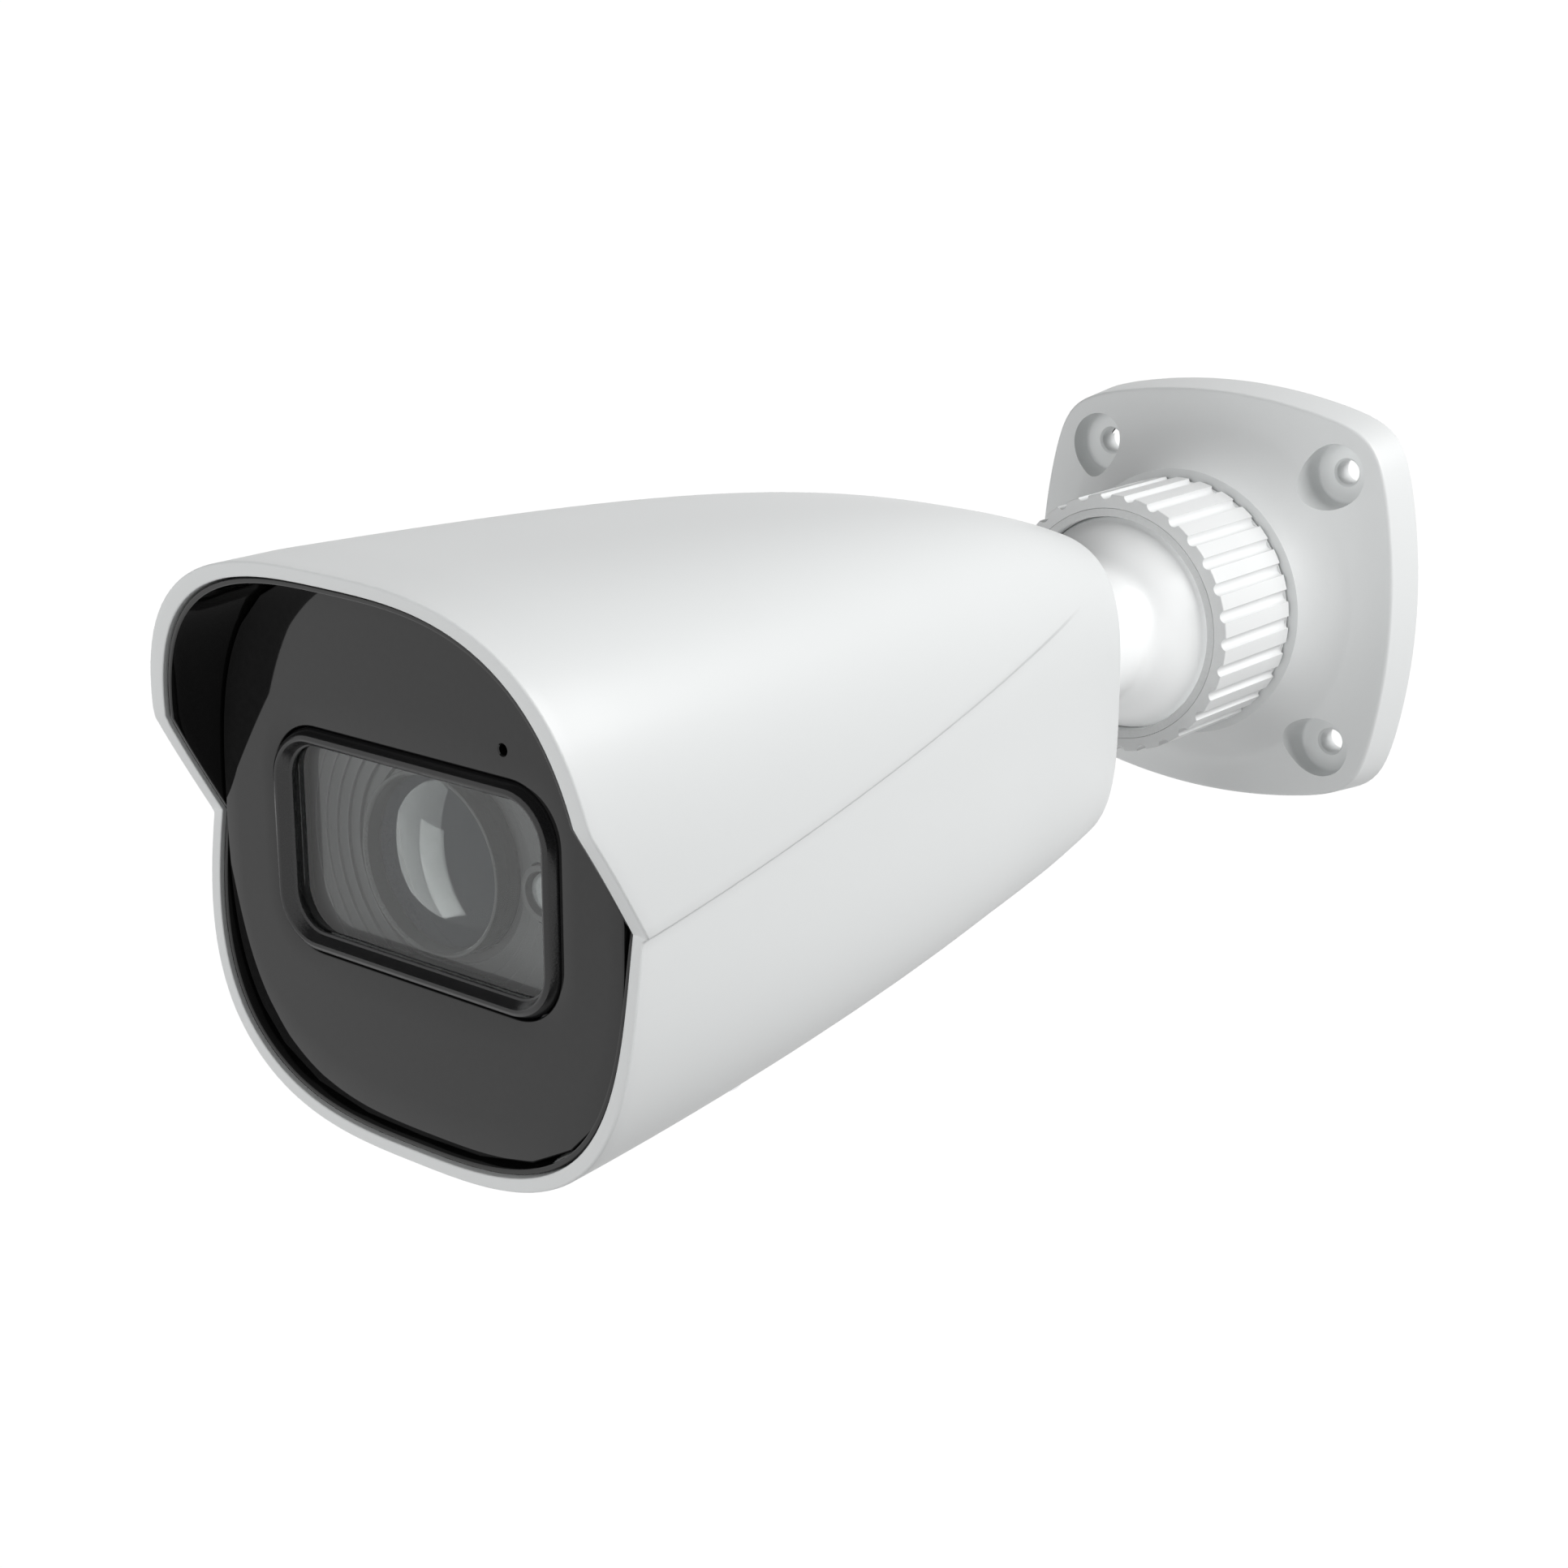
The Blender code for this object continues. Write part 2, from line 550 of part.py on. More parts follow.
def make_lens():
    at = (0.0, 0.0, WINDOW_Z)
    centre = (0.0, WINDOW_Z)
    barrel = turned("lens_barrel", [
        (14.5 * MM, 229.8 * MM), (14.5 * MM, 222.0 * MM), (12.9 * MM, 222.0 * MM), (12.9 * MM, 190.0 * MM),
        (11.5 * MM, 190.0 * MM), (11.5 * MM, 222.4 * MM), (13.5 * MM, 222.4 * MM), (13.5 * MM, 229.8 * MM)],
        at, 40)
    finish(barrel, BLACK)

    dome_centre = 205.0 * MM
    dome_radius = 25.2 * MM
    rim = sphere_angle(13.2 * MM, dome_radius)
    element = turned("front_element", arc(dome_radius, dome_centre, 0, rim, 6) + [(13.2 * MM, 222.8 * MM),
                                                                                 (0.0, 222.8 * MM)], at, 32, False)
    finish(element, GLASS)

    for name, radius, back, front in (("zoom_group", 11.2 * MM, 203 * MM, 211 * MM),
                                      ("focus_group", 11.2 * MM, 193 * MM, 198 * MM)):
        dome = 0.8 * MM
        group = turned(name, [(0.0, front), (0.7 * radius, front - dome / 2), (radius, front - dome),
                              (radius, back), (0.0, back)], at, 32, False)
        finish(group, BLACK)

    for name, start, end, side in (("zoom", 205 * MM, 211 * MM, 1), ("focus", 193 * MM, 198 * MM, -1)):
        towards = side * math.pi / 2
        bore = [(x, z) for x, z in circle(RING_BORE, 40)]
        ring = slab(name + "_ring", [gear_outline(RING_TEETH, towards, TOOTH_SECTOR), bore], start, end,
                    FORWARD, centre)
        finish(ring, GREY)
        pinion_at = (0.0, WINDOW_Z + side * GEAR_CENTRES)
        half_tooth = math.pi / PINION_TEETH
        pinion = slab(name + "_pinion", [gear_outline(PINION_TEETH, -towards + half_tooth)], start, end,
                      FORWARD, pinion_at)
        finish(pinion, BRASS)
        body_back, body_front = (end + 1.5 * MM, end + 10.5 * MM) if side > 0 else (184.2 * MM, start - GAP)
        motor = turned(name + "_motor", [(0.0, body_front), (4.8 * MM, body_front), (4.8 * MM, body_back),
                                         (0.0, body_back)], (pinion_at[0], 0.0, pinion_at[1]), 24, False)
        finish(motor, METAL)

    housing = box("filter_housing", (-18 * MM, -189.7 * MM, WINDOW_Z - 9 * MM),
                  (18 * MM, -183.7 * MM, WINDOW_Z + 9 * MM))
    aperture = slab("filter_aperture", [circle(5 * MM, 24, centre)], 180 * MM, 195 * MM)
    track = box("filter_track", (-30 * MM, -188.0 * MM, WINDOW_Z - 6.5 * MM),
                (16.4 * MM, -185.4 * MM, WINDOW_Z + 6.5 * MM))
    combine(combine(housing, aperture), track)
    finish(bake(housing), BLACK)

    frame = rounded_rectangle(11 * MM, 6.2 * MM, 0.5 * MM, (-5 * MM, WINDOW_Z), 2)
    clear_window = circle(3.6 * MM, 20, (-10 * MM, WINDOW_Z))
    slide = slab("filter_slide", [frame, clear_window], 185.9 * MM, 187.5 * MM)
    finish(slide, BLACK)

    sensor = box("image_sensor", (-4.5 * MM, -183.4 * MM, WINDOW_Z - 3.5 * MM),
                 (4.5 * MM, -182.7 * MM, WINDOW_Z + 3.5 * MM))
    finish(sensor, GLASS, False)
    board = box("sensor_board", (-19 * MM, -182.4 * MM, WINDOW_Z - 17 * MM),
                (19 * MM, -180.8 * MM, WINDOW_Z + 17 * MM))
    finish(board, BOARD, False)


def make_electronics():
    bracket = box("lens_bracket", (-21 * MM, -178.6 * MM, -21 * MM), (21 * MM, -176.6 * MM, 18 * MM), 0.4 * MM)
    window = box("bracket_window", (-8 * MM, -182 * MM, -9.5 * MM), (8 * MM, -172 * MM, 1.5 * MM))
    finish(bake(combine(bracket, window)), METAL)

    tray = box("chassis", (-22 * MM, -176 * MM, -22 * MM), (22 * MM, -100 * MM, -8 * MM))
    room = box("chassis_room", (-20.6 * MM, -180 * MM, -20.6 * MM), (20.6 * MM, -96 * MM, 0.0))
    finish(bake(combine(tray, room)), METAL, False)

    for name, low, high, look in (
            ("power_board", (-18, -150, -17.4), (18, -104, -15.8), BOARD),
            ("transformer", (-7, -138, -15.5), (7, -124, -7.2), GREY),
            ("main_board", (-20, -172, -6.4), (20, -104, -4.8), BOARD),
            ("processor", (-8.5, -152, -4.5), (8.5, -135, -2.5), BLACK),
            ("thermal_pad", (-8, -151.5, -2.2), (8, -135.5, -1.2), GREY),
            ("service_board", (-16, -204, -29.2), (16, -168, -27.6), BOARD)):
        piece = box(name, [value * MM for value in low], [value * MM for value in high])
        finish(piece, look, False)

    sink = box("heat_sink", (-16 * MM, -156 * MM, -0.9 * MM), (16 * MM, -131 * MM, 9.0 * MM))
    for i in range(5):
        x = (i - 2) * 6.0 * MM
        combine(sink, box("fin_gap", (x - 2 * MM, -160 * MM, 1.6 * MM), (x + 2 * MM, -128 * MM, 12 * MM)))
    finish(bake(sink), METAL, False)

    strip_points = []
    for i in range(9):
        u = i / 8
        strip_points.append((-179.9 * MM + 9.5 * MM * u, -7.5 * MM + 3.6 * MM * math.sin(math.pi * u / 2)))
    width, thickness = 6.0 * MM, 0.3 * MM
    mesh = bpy.data.meshes.new("ribbon_cable")
    work = bmesh.new()
    left = [work.verts.new((-width, y, z)) for y, z in strip_points]
    right = [work.verts.new((width, y, z)) for y, z in strip_points]
    for i in range(len(strip_points) - 1):
        work.faces.new((left[i], right[i], right[i + 1], left[i + 1]))
    work.to_mesh(mesh)
    work.free()
    ribbon = add_mesh("ribbon_cable", mesh, PARTS)
    solid = ribbon.modifiers.new("thickness", "SOLIDIFY")
    solid.thickness = thickness
    finish(bake(ribbon), GREY)

    slot = box("card_slot", (-9 * MM, -202 * MM, -32.4 * MM), (7 * MM, -186 * MM, -29.5 * MM))
    mouth = box("card_mouth", (-7 * MM, -201 * MM, -31.8 * MM), (5 * MM, -182 * MM, -30.1 * MM))
    finish(bake(combine(slot, mouth)), METAL, False)
    card = box("memory_card", (-6.5 * MM, -199.5 * MM, -31.45 * MM), (4.5 * MM, -184.5 * MM, -30.45 * MM))
    finish(card, BLACK, False)

    switch = box("reset_switch", (RESET_AT[0] - 3 * MM, RESET_AT[1] - 3 * MM, -33.0 * MM),
                 (RESET_AT[0] + 3 * MM, RESET_AT[1] + 3 * MM, -29.5 * MM))
    bore = slab("reset_bore", [circle(2.0 * MM, 16)], -40 * MM, -30.3 * MM, (0.0, 0.0, 0.0), RESET_AT)
    finish(bake(combine(switch, bore)), BLACK, False)
    button = slab("reset_button", [circle(1.7 * MM, 16)], -35.0 * MM, -31.0 * MM, (0.0, 0.0, 0.0), RESET_AT)
    finish(button, GREY)


def make_service_cover():
    stations = (150.0, 165.0, 180.0, 195.0, 210.0, 225.0)
    proud = body_solid("service_cover", stations, -COVER_PROUD, -COVER_PROUD)
    combine(proud, cover_prism("cover_prism", 0.0), "INTERSECT")
    combine(proud, body_solid("cover_inside", stations, COVER_DEPTH, COVER_DEPTH))
    for side in (-1, 1):
        hole = slab("cover_hole", [circle(1.7 * MM, 12)], -60 * MM, -30 * MM, (0.0, 0.0, 0.0),
                    (side * COVER_SCREW_X, -COVER_AHEAD))
        combine(proud, hole)
    finish(bake(proud), WHITE)

    gasket_top, gasket_low = COVER_DEPTH + GAP / 2, COVER_RECESS - GAP / 2
    gasket = body_solid("cover_gasket", stations, gasket_top, gasket_top)
    edge = rounded_rectangle(COVER_OPENING[0] + 2.2 * MM, COVER_OPENING[1] + 2.2 * MM, 3 * MM)
    hole = rounded_rectangle(COVER_OPENING[0] + 0.2 * MM, COVER_OPENING[1] + 0.2 * MM, 1.5 * MM)
    ring = slab("gasket_ring", [edge, hole], -60 * MM, -30 * MM, (0.0, 0.0, 0.0), (0.0, -COVER_AHEAD))
    combine(gasket, ring, "INTERSECT")
    combine(gasket, body_solid("gasket_inside", stations, gasket_low, gasket_low))
    finish(bake(gasket), RUBBER)

    for side, name in ((-1, "cover_screw_left"), (1, "cover_screw_right")):
        seat = body_bottom(COVER_SCREW_X - 2.8 * MM, COVER_AHEAD) - COVER_PROUD - GAP
        screw = turned(name, [(0.0, 1.9 * MM), (1.2 * MM, 1.75 * MM), (2.2 * MM, 1.15 * MM), (2.8 * MM, 0.25 * MM),
                              (2.8 * MM, 0.0), (1.35 * MM, 0.0), (1.35 * MM, -5.0 * MM), (0.0, -5.0 * MM)],
                       (side * COVER_SCREW_X, -COVER_AHEAD, seat), 20, False)
        screw.rotation_euler = (math.pi, 0.0, 0.0)
        finish(screw, POLISHED)


def make_wall_plate():
    count = 48
    stages = 7
    rings = []
    for half, ahead in ((PLATE_BACK_HALF, 0.0), (PLATE_FRONT_HALF, PLATE_EDGE - 0.8 * MM),
                        (PLATE_FRONT_HALF - 0.25 * MM, PLATE_EDGE - 0.2 * MM)):
        rings.append([(x, -ahead, z) for x, z in superellipse(half, half, PLATE_EXPONENT, count=count)])
    inner_edge = superellipse(PLATE_FRONT_HALF - 0.9 * MM, PLATE_FRONT_HALF - 0.9 * MM, PLATE_EXPONENT, count=count)
    boss = [(BOSS_RADIUS * x / math.hypot(x, z), BOSS_RADIUS * z / math.hypot(x, z)) for x, z in inner_edge]
    for i in range(stages):
        u = i / (stages - 1)
        ahead = PLATE_EDGE + (BOSS_AHEAD - PLATE_EDGE) * u ** BOSS_RISE_POWER
        rings.append([(a + (c - a) * u, -ahead, b + (d - b) * u) for (a, b), (c, d) in zip(inner_edge, boss)])
    plate = loft("wall_plate", rings)
    thread = turned("boss_thread", [(THREAD_RADIUS, THREAD_END), (THREAD_RADIUS, 10 * MM), (0.0, 10 * MM)],
                    (0.0, 0.0, 0.0), 48, False)
    bmesh_fill_top(thread)
    combine(plate, thread, "UNION")
    cup = [(0.0, THREAD_END + 8 * MM), (SEAT_RADIUS + 0.1 * MM, THREAD_END + 8 * MM)]
    cup += [(radius, ahead) for radius, ahead in arc(SEAT_RADIUS + 0.1 * MM, BALL_AHEAD, 90, 118, 5)]
    pocket_start = cup[-1][1]
    cup += [(SEAT_POCKET_RADIUS, min(pocket_start, 26.0 * MM)), (SEAT_POCKET_RADIUS, SEAT_POCKET_FLOOR),
            (0.0, SEAT_POCKET_FLOOR)]
    cup = [point for i, point in enumerate(cup) if i < 2 or point[0] >= SEAT_POCKET_RADIUS or point[0] == 0.0]
    combine(plate, turned("boss_cup", cup, (0.0, 0.0, 0.0), 48, False))
    cable = slab("cable_hole", [circle(CABLE_HOLE_RADIUS, 32)], -5 * MM, 25 * MM)
    combine(plate, cable)
    back_room = slab("back_recess", [circle(18 * MM, 32)], -5 * MM, 8 * MM)
    combine(plate, back_room)
    groove_outer = superellipse(38.4 * MM, 38.4 * MM, PLATE_EXPONENT, count=40)
    groove_inner = superellipse(34.6 * MM, 34.6 * MM, PLATE_EXPONENT, count=40)
    combine(plate, slab("gasket_groove", [groove_outer, groove_inner], -5 * MM, 1.3 * MM))
    half = HOLE_SPACING / 2
    for x in (-half, half):
        for z in (-half, half):
            combine(plate, slab("screw_hole", [circle(SCREW_HOLE_RADIUS, 20, (x, z))], -5 * MM, 20 * MM))
            combine(plate, slab("counterbore", [circle(COUNTERBORE_RADIUS, 32, (x, z))], COUNTERBORE_FLOOR, 25 * MM))
    finish(bake(plate), WHITE)
    gasket = slab("wall_gasket", [superellipse(38.0 * MM, 38.0 * MM, PLATE_EXPONENT, count=40),
                                  superellipse(35.0 * MM, 35.0 * MM, PLATE_EXPONENT, count=40)],
                  0.1 * MM, 1.0 * MM)
    finish(gasket, RUBBER)


def bmesh_fill_top(obj):
    """Close an open turned piece across its front."""
    work = bmesh.new()
    work.from_mesh(obj.data)
    bmesh.ops.holes_fill(work, edges=[edge for edge in work.edges if edge.is_boundary], sides=0)
    work.to_mesh(obj.data)
    work.free()


def make_ball_joint():
    seat = turned("seat_ring", [(21.4 * MM, 25.7 * MM), (21.4 * MM, 15.3 * MM), (12 * MM, 15.3 * MM)]
                  + list(reversed([point for point in arc(SEAT_RADIUS, BALL_AHEAD, 118, 148, 8)])), (0.0, 0.0, 0.0), 40)
    finish(seat, RUBBER)

    junction = BALL_RADIUS + NECK_FILLET
    fillet_centre_radius = NECK_RADIUS + NECK_FILLET
    fillet_ahead = math.sqrt(junction ** 2 - fillet_centre_radius ** 2)
    contact = math.atan2(fillet_centre_radius, fillet_ahead)
    fillet = []
    for i in range(6):
        angle = math.pi + (math.pi / 2 - contact) * i / 5
        fillet.append((fillet_centre_radius + NECK_FILLET * math.cos(angle),
                       fillet_ahead + NECK_FILLET * math.sin(angle)))
    shoulder = 16.5 * MM
    ahead = [(NECK_RADIUS, NECK_END), (NECK_RADIUS, 78.4 * MM), (shoulder, 78.4 * MM), (shoulder, 74.5 * MM),
             (NECK_RADIUS, 71.0 * MM)]
    profile = [(radius, distance - BALL_AHEAD) for radius, distance in ahead]
    profile += fillet
    back = 180 - sphere_angle(11 * MM, BALL_RADIUS)
    profile += arc(BALL_RADIUS, 0.0, math.degrees(contact), back, 13)[1:]
    profile += [(CABLE_RADIUS, BALL_RADIUS * math.cos(math.radians(back))), (CABLE_RADIUS, NECK_END - BALL_AHEAD)]
    ball = turned("ball_neck", profile, (0.0, -BALL_AHEAD, 0.0), 40)
    finish(ball, WHITE)

    clamp_arc = list(reversed(arc(SEAT_RADIUS, BALL_AHEAD, 73.5, 84, 4)))
    ring = turned("clamp_ring", [(22.9 * MM, 45.1 * MM), (22.9 * MM, 40.5 * MM), (23.7 * MM, 40.5 * MM),
                                 (23.7 * MM, clamp_arc[0][1])] + clamp_arc
                  + [(21.6 * MM, 43.2 * MM), (21.6 * MM, 44.7 * MM), (22.0 * MM, 45.1 * MM)], (0.0, 0.0, 0.0), 48)
    finish(ring, GREY)

    nut_edge = circle(19.5 * MM, 6)
    nut = slab("neck_nut", [nut_edge, circle(NECK_RADIUS + GAP, 32)], 84.4 * MM, 90 * MM)
    finish(nut, METAL)
    seal = slab("neck_seal", [circle(18.0 * MM, 32), circle(NECK_RADIUS + GAP, 32)], 82.5 * MM, 84.1 * MM)
    finish(seal, RUBBER)


def make_lock_collar():
    """Knurled ring: round-bottomed grooves cut by cylinders lying on the rim, wide flat crests between."""
    step = 2 * math.pi / GROOVE_COUNT
    rim = COLLAR_RADIUS + 0.25 * MM
    reach = math.asin(0.97 * GROOVE_RADIUS / rim)
    outline = []
    for i in range(GROOVE_COUNT):
        middle = i * step
        for j in range(4):
            angle = math.pi * (0.12 + 0.76 * j / 3)
            along, inward = -GROOVE_RADIUS * math.cos(angle), GROOVE_RADIUS * math.sin(angle)
            radius = rim - inward
            outline.append((radius * math.cos(middle + along / rim), radius * math.sin(middle + along / rim)))
        for j in range(2):
            angle = middle + reach + (step - 2 * reach) * (j + 0.5) / 2
            outline.append((COLLAR_RADIUS * math.cos(angle), COLLAR_RADIUS * math.sin(angle)))
    collar = slab("lock_collar", [outline], COLLAR_LIP_END - 0.5 * MM, COLLAR_FRONT)
    lip = turned("collar_lip", [(0.0, COLLAR_LIP_END), (COLLAR_LIP_RADIUS, COLLAR_LIP_END),
                                (COLLAR_LIP_RADIUS, COLLAR_BACK), (0.0, COLLAR_BACK)], (0.0, 0.0, 0.0), 60, False)
    combine(collar, lip, "UNION")
    bore = turned("collar_bore", [(0.0, 50 * MM), (COLLAR_MOUTH, 50 * MM), (COLLAR_MOUTH, COLLAR_SHOULDER),
                                  (COLLAR_BORE, COLLAR_SHOULDER), (COLLAR_BORE, 10 * MM), (0.0, 10 * MM)],
                  (0.0, 0.0, 0.0), 48, False)
    combine(collar, bore)
    finish(bake(collar), WHITE)


def group_under(name, place, members):
    """Hang pieces under an empty on their joint, keeping them where they are."""
    empty = bpy.data.objects.new(name, None)
    empty.location = place
    PARTS.objects.link(empty)
    bpy.context.view_layer.update()
    for member in members:
        obj = bpy.data.objects[member]
        obj.parent = empty
        obj.matrix_parent_inverse = empty.matrix_world.inverted()
    return empty


def main():
    make_wall_plate()
    make_ball_joint()
    make_lock_collar()
    make_main_shell()
    make_hood_liner()
    make_front()
    make_lens_shroud()
    make_lens()
    make_electronics()
    make_service_cover()
    bracket = {"wall_plate", "wall_gasket", "seat_ring", "clamp_ring", "lock_collar", "ball_neck"}
    cover = {"service_cover", "cover_gasket", "cover_screw_left", "cover_screw_right"}
    names = {obj.name for obj in PARTS.objects}
    body = group_under("camera_body", (0.0, -BALL_AHEAD, 0.0), sorted(names - bracket - cover))
    lid = group_under("cover_lift", (0.0, -COVER_AHEAD, -45 * MM), sorted(cover))
    lid.parent = body
    lid.matrix_parent_inverse = body.matrix_world.inverted()


clear_scene()
PARTS = new_collection("security_camera")
CUTTERS = new_collection("cutters")
main()
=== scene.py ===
"""Looks of a bullet security camera on a ball bracket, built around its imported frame.

Distances called "ahead" run from the wall towards the camera's front, which is -Y.
"""
import json
import math

import bmesh
import bpy
from bpy.props import FloatProperty, FloatVectorProperty, IntProperty, PointerProperty
from mathutils import Matrix, Vector


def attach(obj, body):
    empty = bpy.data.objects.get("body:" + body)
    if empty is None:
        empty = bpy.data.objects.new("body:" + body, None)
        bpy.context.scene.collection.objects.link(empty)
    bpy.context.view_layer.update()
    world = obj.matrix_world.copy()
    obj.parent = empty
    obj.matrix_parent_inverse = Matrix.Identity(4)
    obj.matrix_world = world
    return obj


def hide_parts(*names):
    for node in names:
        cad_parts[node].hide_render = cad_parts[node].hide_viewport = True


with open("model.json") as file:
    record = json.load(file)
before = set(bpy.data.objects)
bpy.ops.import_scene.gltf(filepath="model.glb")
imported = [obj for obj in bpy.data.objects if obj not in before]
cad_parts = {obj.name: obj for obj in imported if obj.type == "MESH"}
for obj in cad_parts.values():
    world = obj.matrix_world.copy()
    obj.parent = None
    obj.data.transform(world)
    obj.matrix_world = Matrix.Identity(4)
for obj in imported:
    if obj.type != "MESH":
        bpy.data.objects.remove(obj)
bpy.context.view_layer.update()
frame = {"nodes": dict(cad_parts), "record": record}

bl_info = {
    "name": "Bullet security camera",
    "version": (1, 0, 0),
    "blender": (4, 5, 0),
    "location": "View3D > Sidebar > Security camera",
    "description": "Builds the visible pieces and finishes of a bullet camera on a ball bracket",
    "category": "Object",
}

MM = 0.001
WELD = 0.000002

WALL_SPAN = 78.7
FRONT_SPAN = 236.0
BALL_AHEAD = 36.3
COVER_AHEAD = 186.0
COVER_HALF = (23.5, 22.0)
COVER_CORNER = 5.0
COVER_SCREW_SIDE = 20.0

UPPER_COLUMNS = 84
STEP_COLUMNS = 7
LOWER_COLUMNS = 96
WALL = (3.0, 2.2)
REAR_OPENING = 13.8

PANEL_FRONT = 233.7
WINDOW = (0.0, -1.9)
BEZEL_HALF = (30.1, 18.0)
BEZEL_CORNER = 9.0
SMALL_LIGHT = (21.5, -2.3)

PLATE_BOW = 115.0
PLATE_CORNERS = 14.0
GASKET_CORNERS = 4.4
PLATE_THICKNESS = 9.5
PLATE_FRONT_HALF = 42.1
GROOVE_LIFT = 0.18
GROOVE_BAND = 1.1

SHARP = 38.0
GLOSSY_RAY = 3
SHOWN_WHITE = 1.02


def length(name, description, default):
    """A size setting kept in metres and given here in millimetres."""
    return FloatProperty(name=name, description=description, default=default * MM, min=0.0,
                         subtype="DISTANCE",
                         unit="LENGTH", precision=5)


def colour(name, description, default):
    return FloatVectorProperty(name=name, description=description, default=default, size=3, min=0.0, max=1.0,
                               subtype="COLOR")


def factor(name, description, default):
    return FloatProperty(name=name, description=description, default=default, min=0.0, max=1.0,
                         subtype="FACTOR")


class HousingSettings(bpy.types.PropertyGroup):
    rim_radius: length("Rim radius", "Rounding of the hood's and rim's outer edge", 0.45)
    rear_radius: length("Rear radius", "Rounding of the housing's rear edge", 1.4)
    crease_depth: length("Crease depth", "How far the lower side lies below the crease", 0.9)
    crease_height: length("Crease height", "Width of the step under the crease", 1.1)
    liner_recess: length("Lining recess", "How far the black lining stops short of the rim", 0.6)
    cover_proud: length("Cover height", "How far the service cover stands out of the underside", 0.8)


class FrontSettings(bpy.types.PropertyGroup):
    ridge: length("Bezel ridge", "Height of the bezel's ridge above the front panel", 1.55)
    panel_edge: length("Panel edge", "Rounding of the front panel's edges", 0.3)
    microphone_hole: length("Microphone hole", "Radius of the microphone's hole", 0.85)
    baffles: IntProperty(name="Baffles", description="Steps in the lens surround", default=6, min=2, max=12)
    baffle_pitch: length("Baffle pitch", "Distance between the steps of the lens surround", 2.2)


class BracketSettings(bpy.types.PropertyGroup):
    plate_edge_radius: length("Plate edge radius", "Rounding of the wall plate's front edge", 0.7)
    hole_spacing: length("Hole spacing", "Distance between neighbouring wall screws", 56.0)
    counterbore: length("Counterbore", "Radius of the counterbores for the wall screws", 6.35)
    grooves: IntProperty(name="Grooves", description="Finger grooves round the lock collar", default=30,
                         min=6, max=90)
    groove_radius: length("Groove radius", "Radius of each finger groove", 1.25)


class FinishSettings(bpy.types.PropertyGroup):
    coat: colour("Powder coat", "White of the housing and the wall plate", (0.80, 0.815, 0.815))
    bracket_coat: colour("Bracket coat", "White of the collar and the ball", (0.84, 0.85, 0.85))
    gloss_black: colour("Gloss black", "Front panel and hood lining", (0.008, 0.008, 0.008))
    satin_black: colour("Satin black", "Bezel and lens barrel", (0.014, 0.014, 0.0145))
    coat_roughness: factor("Coat roughness", "Roughness of the powder coat", 0.42)


class StageSettings(bpy.types.PropertyGroup):
    ambient: FloatProperty(name="Ambient", description="Strength of the surrounding light", default=0.04,
                           min=0.0)
    key: FloatProperty(name="Key", description="Power of the large soft light at the side", default=30.0,
                       min=0.0,
                       unit="POWER")
    strip: FloatProperty(name="Strip", description="Power of the soft light that only shows as a mirror image", default=6.0,
                         min=0.0, unit="POWER")
    fill: FloatProperty(name="Fill", description="Power of the soft light in front", default=14.0, min=0.0,
                        unit="POWER")
    bracket_fill: FloatProperty(name="Bracket fill", description="Power of the soft light that only reaches the bracket",
                                default=8.5, min=0.0, unit="POWER")
    floor_drop: length("Floor drop", "Distance of the floor below the wall plate's centre", 420.0)


# ---- shader maths ---------------------------------------------------------------------------------------------

class Maths:
    """A node's output whose operators add Math nodes."""

    def __init__(self, nodes, socket):
        self.nodes = nodes
        self.socket = socket

    def combine(self, operation, *values):
        return self.nodes.node("ShaderNodeMath", {"operation": operation}, dict(enumerate(values)))

    def __add__(self, other):
        return self.combine("ADD", self, other)

    def __radd__(self, other):
        return self.combine("ADD", other, self)

    def __sub__(self, other):
        return self.combine("SUBTRACT", self, other)

    def __rsub__(self, other):
        return self.combine("SUBTRACT", other, self)

    def __mul__(self, other):
        return self.combine("MULTIPLY", self, other)

    def __rmul__(self, other):
        return self.combine("MULTIPLY", other, self)

    def __truediv__(self, other):
        return self.combine("DIVIDE", self, other)

    def __rtruediv__(self, other):
        return self.combine("DIVIDE", other, self)

    def __pow__(self, other):
        return self.combine("POWER", self, other)

    def above(self, limit):
        return self.combine("GREATER_THAN", self, limit)

    def below(self, limit):
        return self.combine("LESS_THAN", self, limit)

    def at_least(self, limit):
        return self.combine("MAXIMUM", self, limit)

    def at_most(self, limit):
        return self.combine("MINIMUM", self, limit)

    def whole(self):
        return self.combine("ROUND", self)

    def root(self):
        return self.combine("SQRT", self)

    def wave(self):
        return self.combine("SINE", self)


class Nodes:
    """A node tree that is built through one method."""

    def __init__(self, tree):
        self.tree = tree

    def node(self, kind, settings=None, inputs=None, output=0):
        node = self.tree.nodes.new(kind)
        for key, value in (settings or {}).items():
            setattr(node, key, value)
        for key, value in (inputs or {}).items():
            if isinstance(value, Maths):
                self.tree.links.new(value.socket, node.inputs[key])
            else:
                node.inputs[key].default_value = value
        return Maths(self, node.outputs[output])


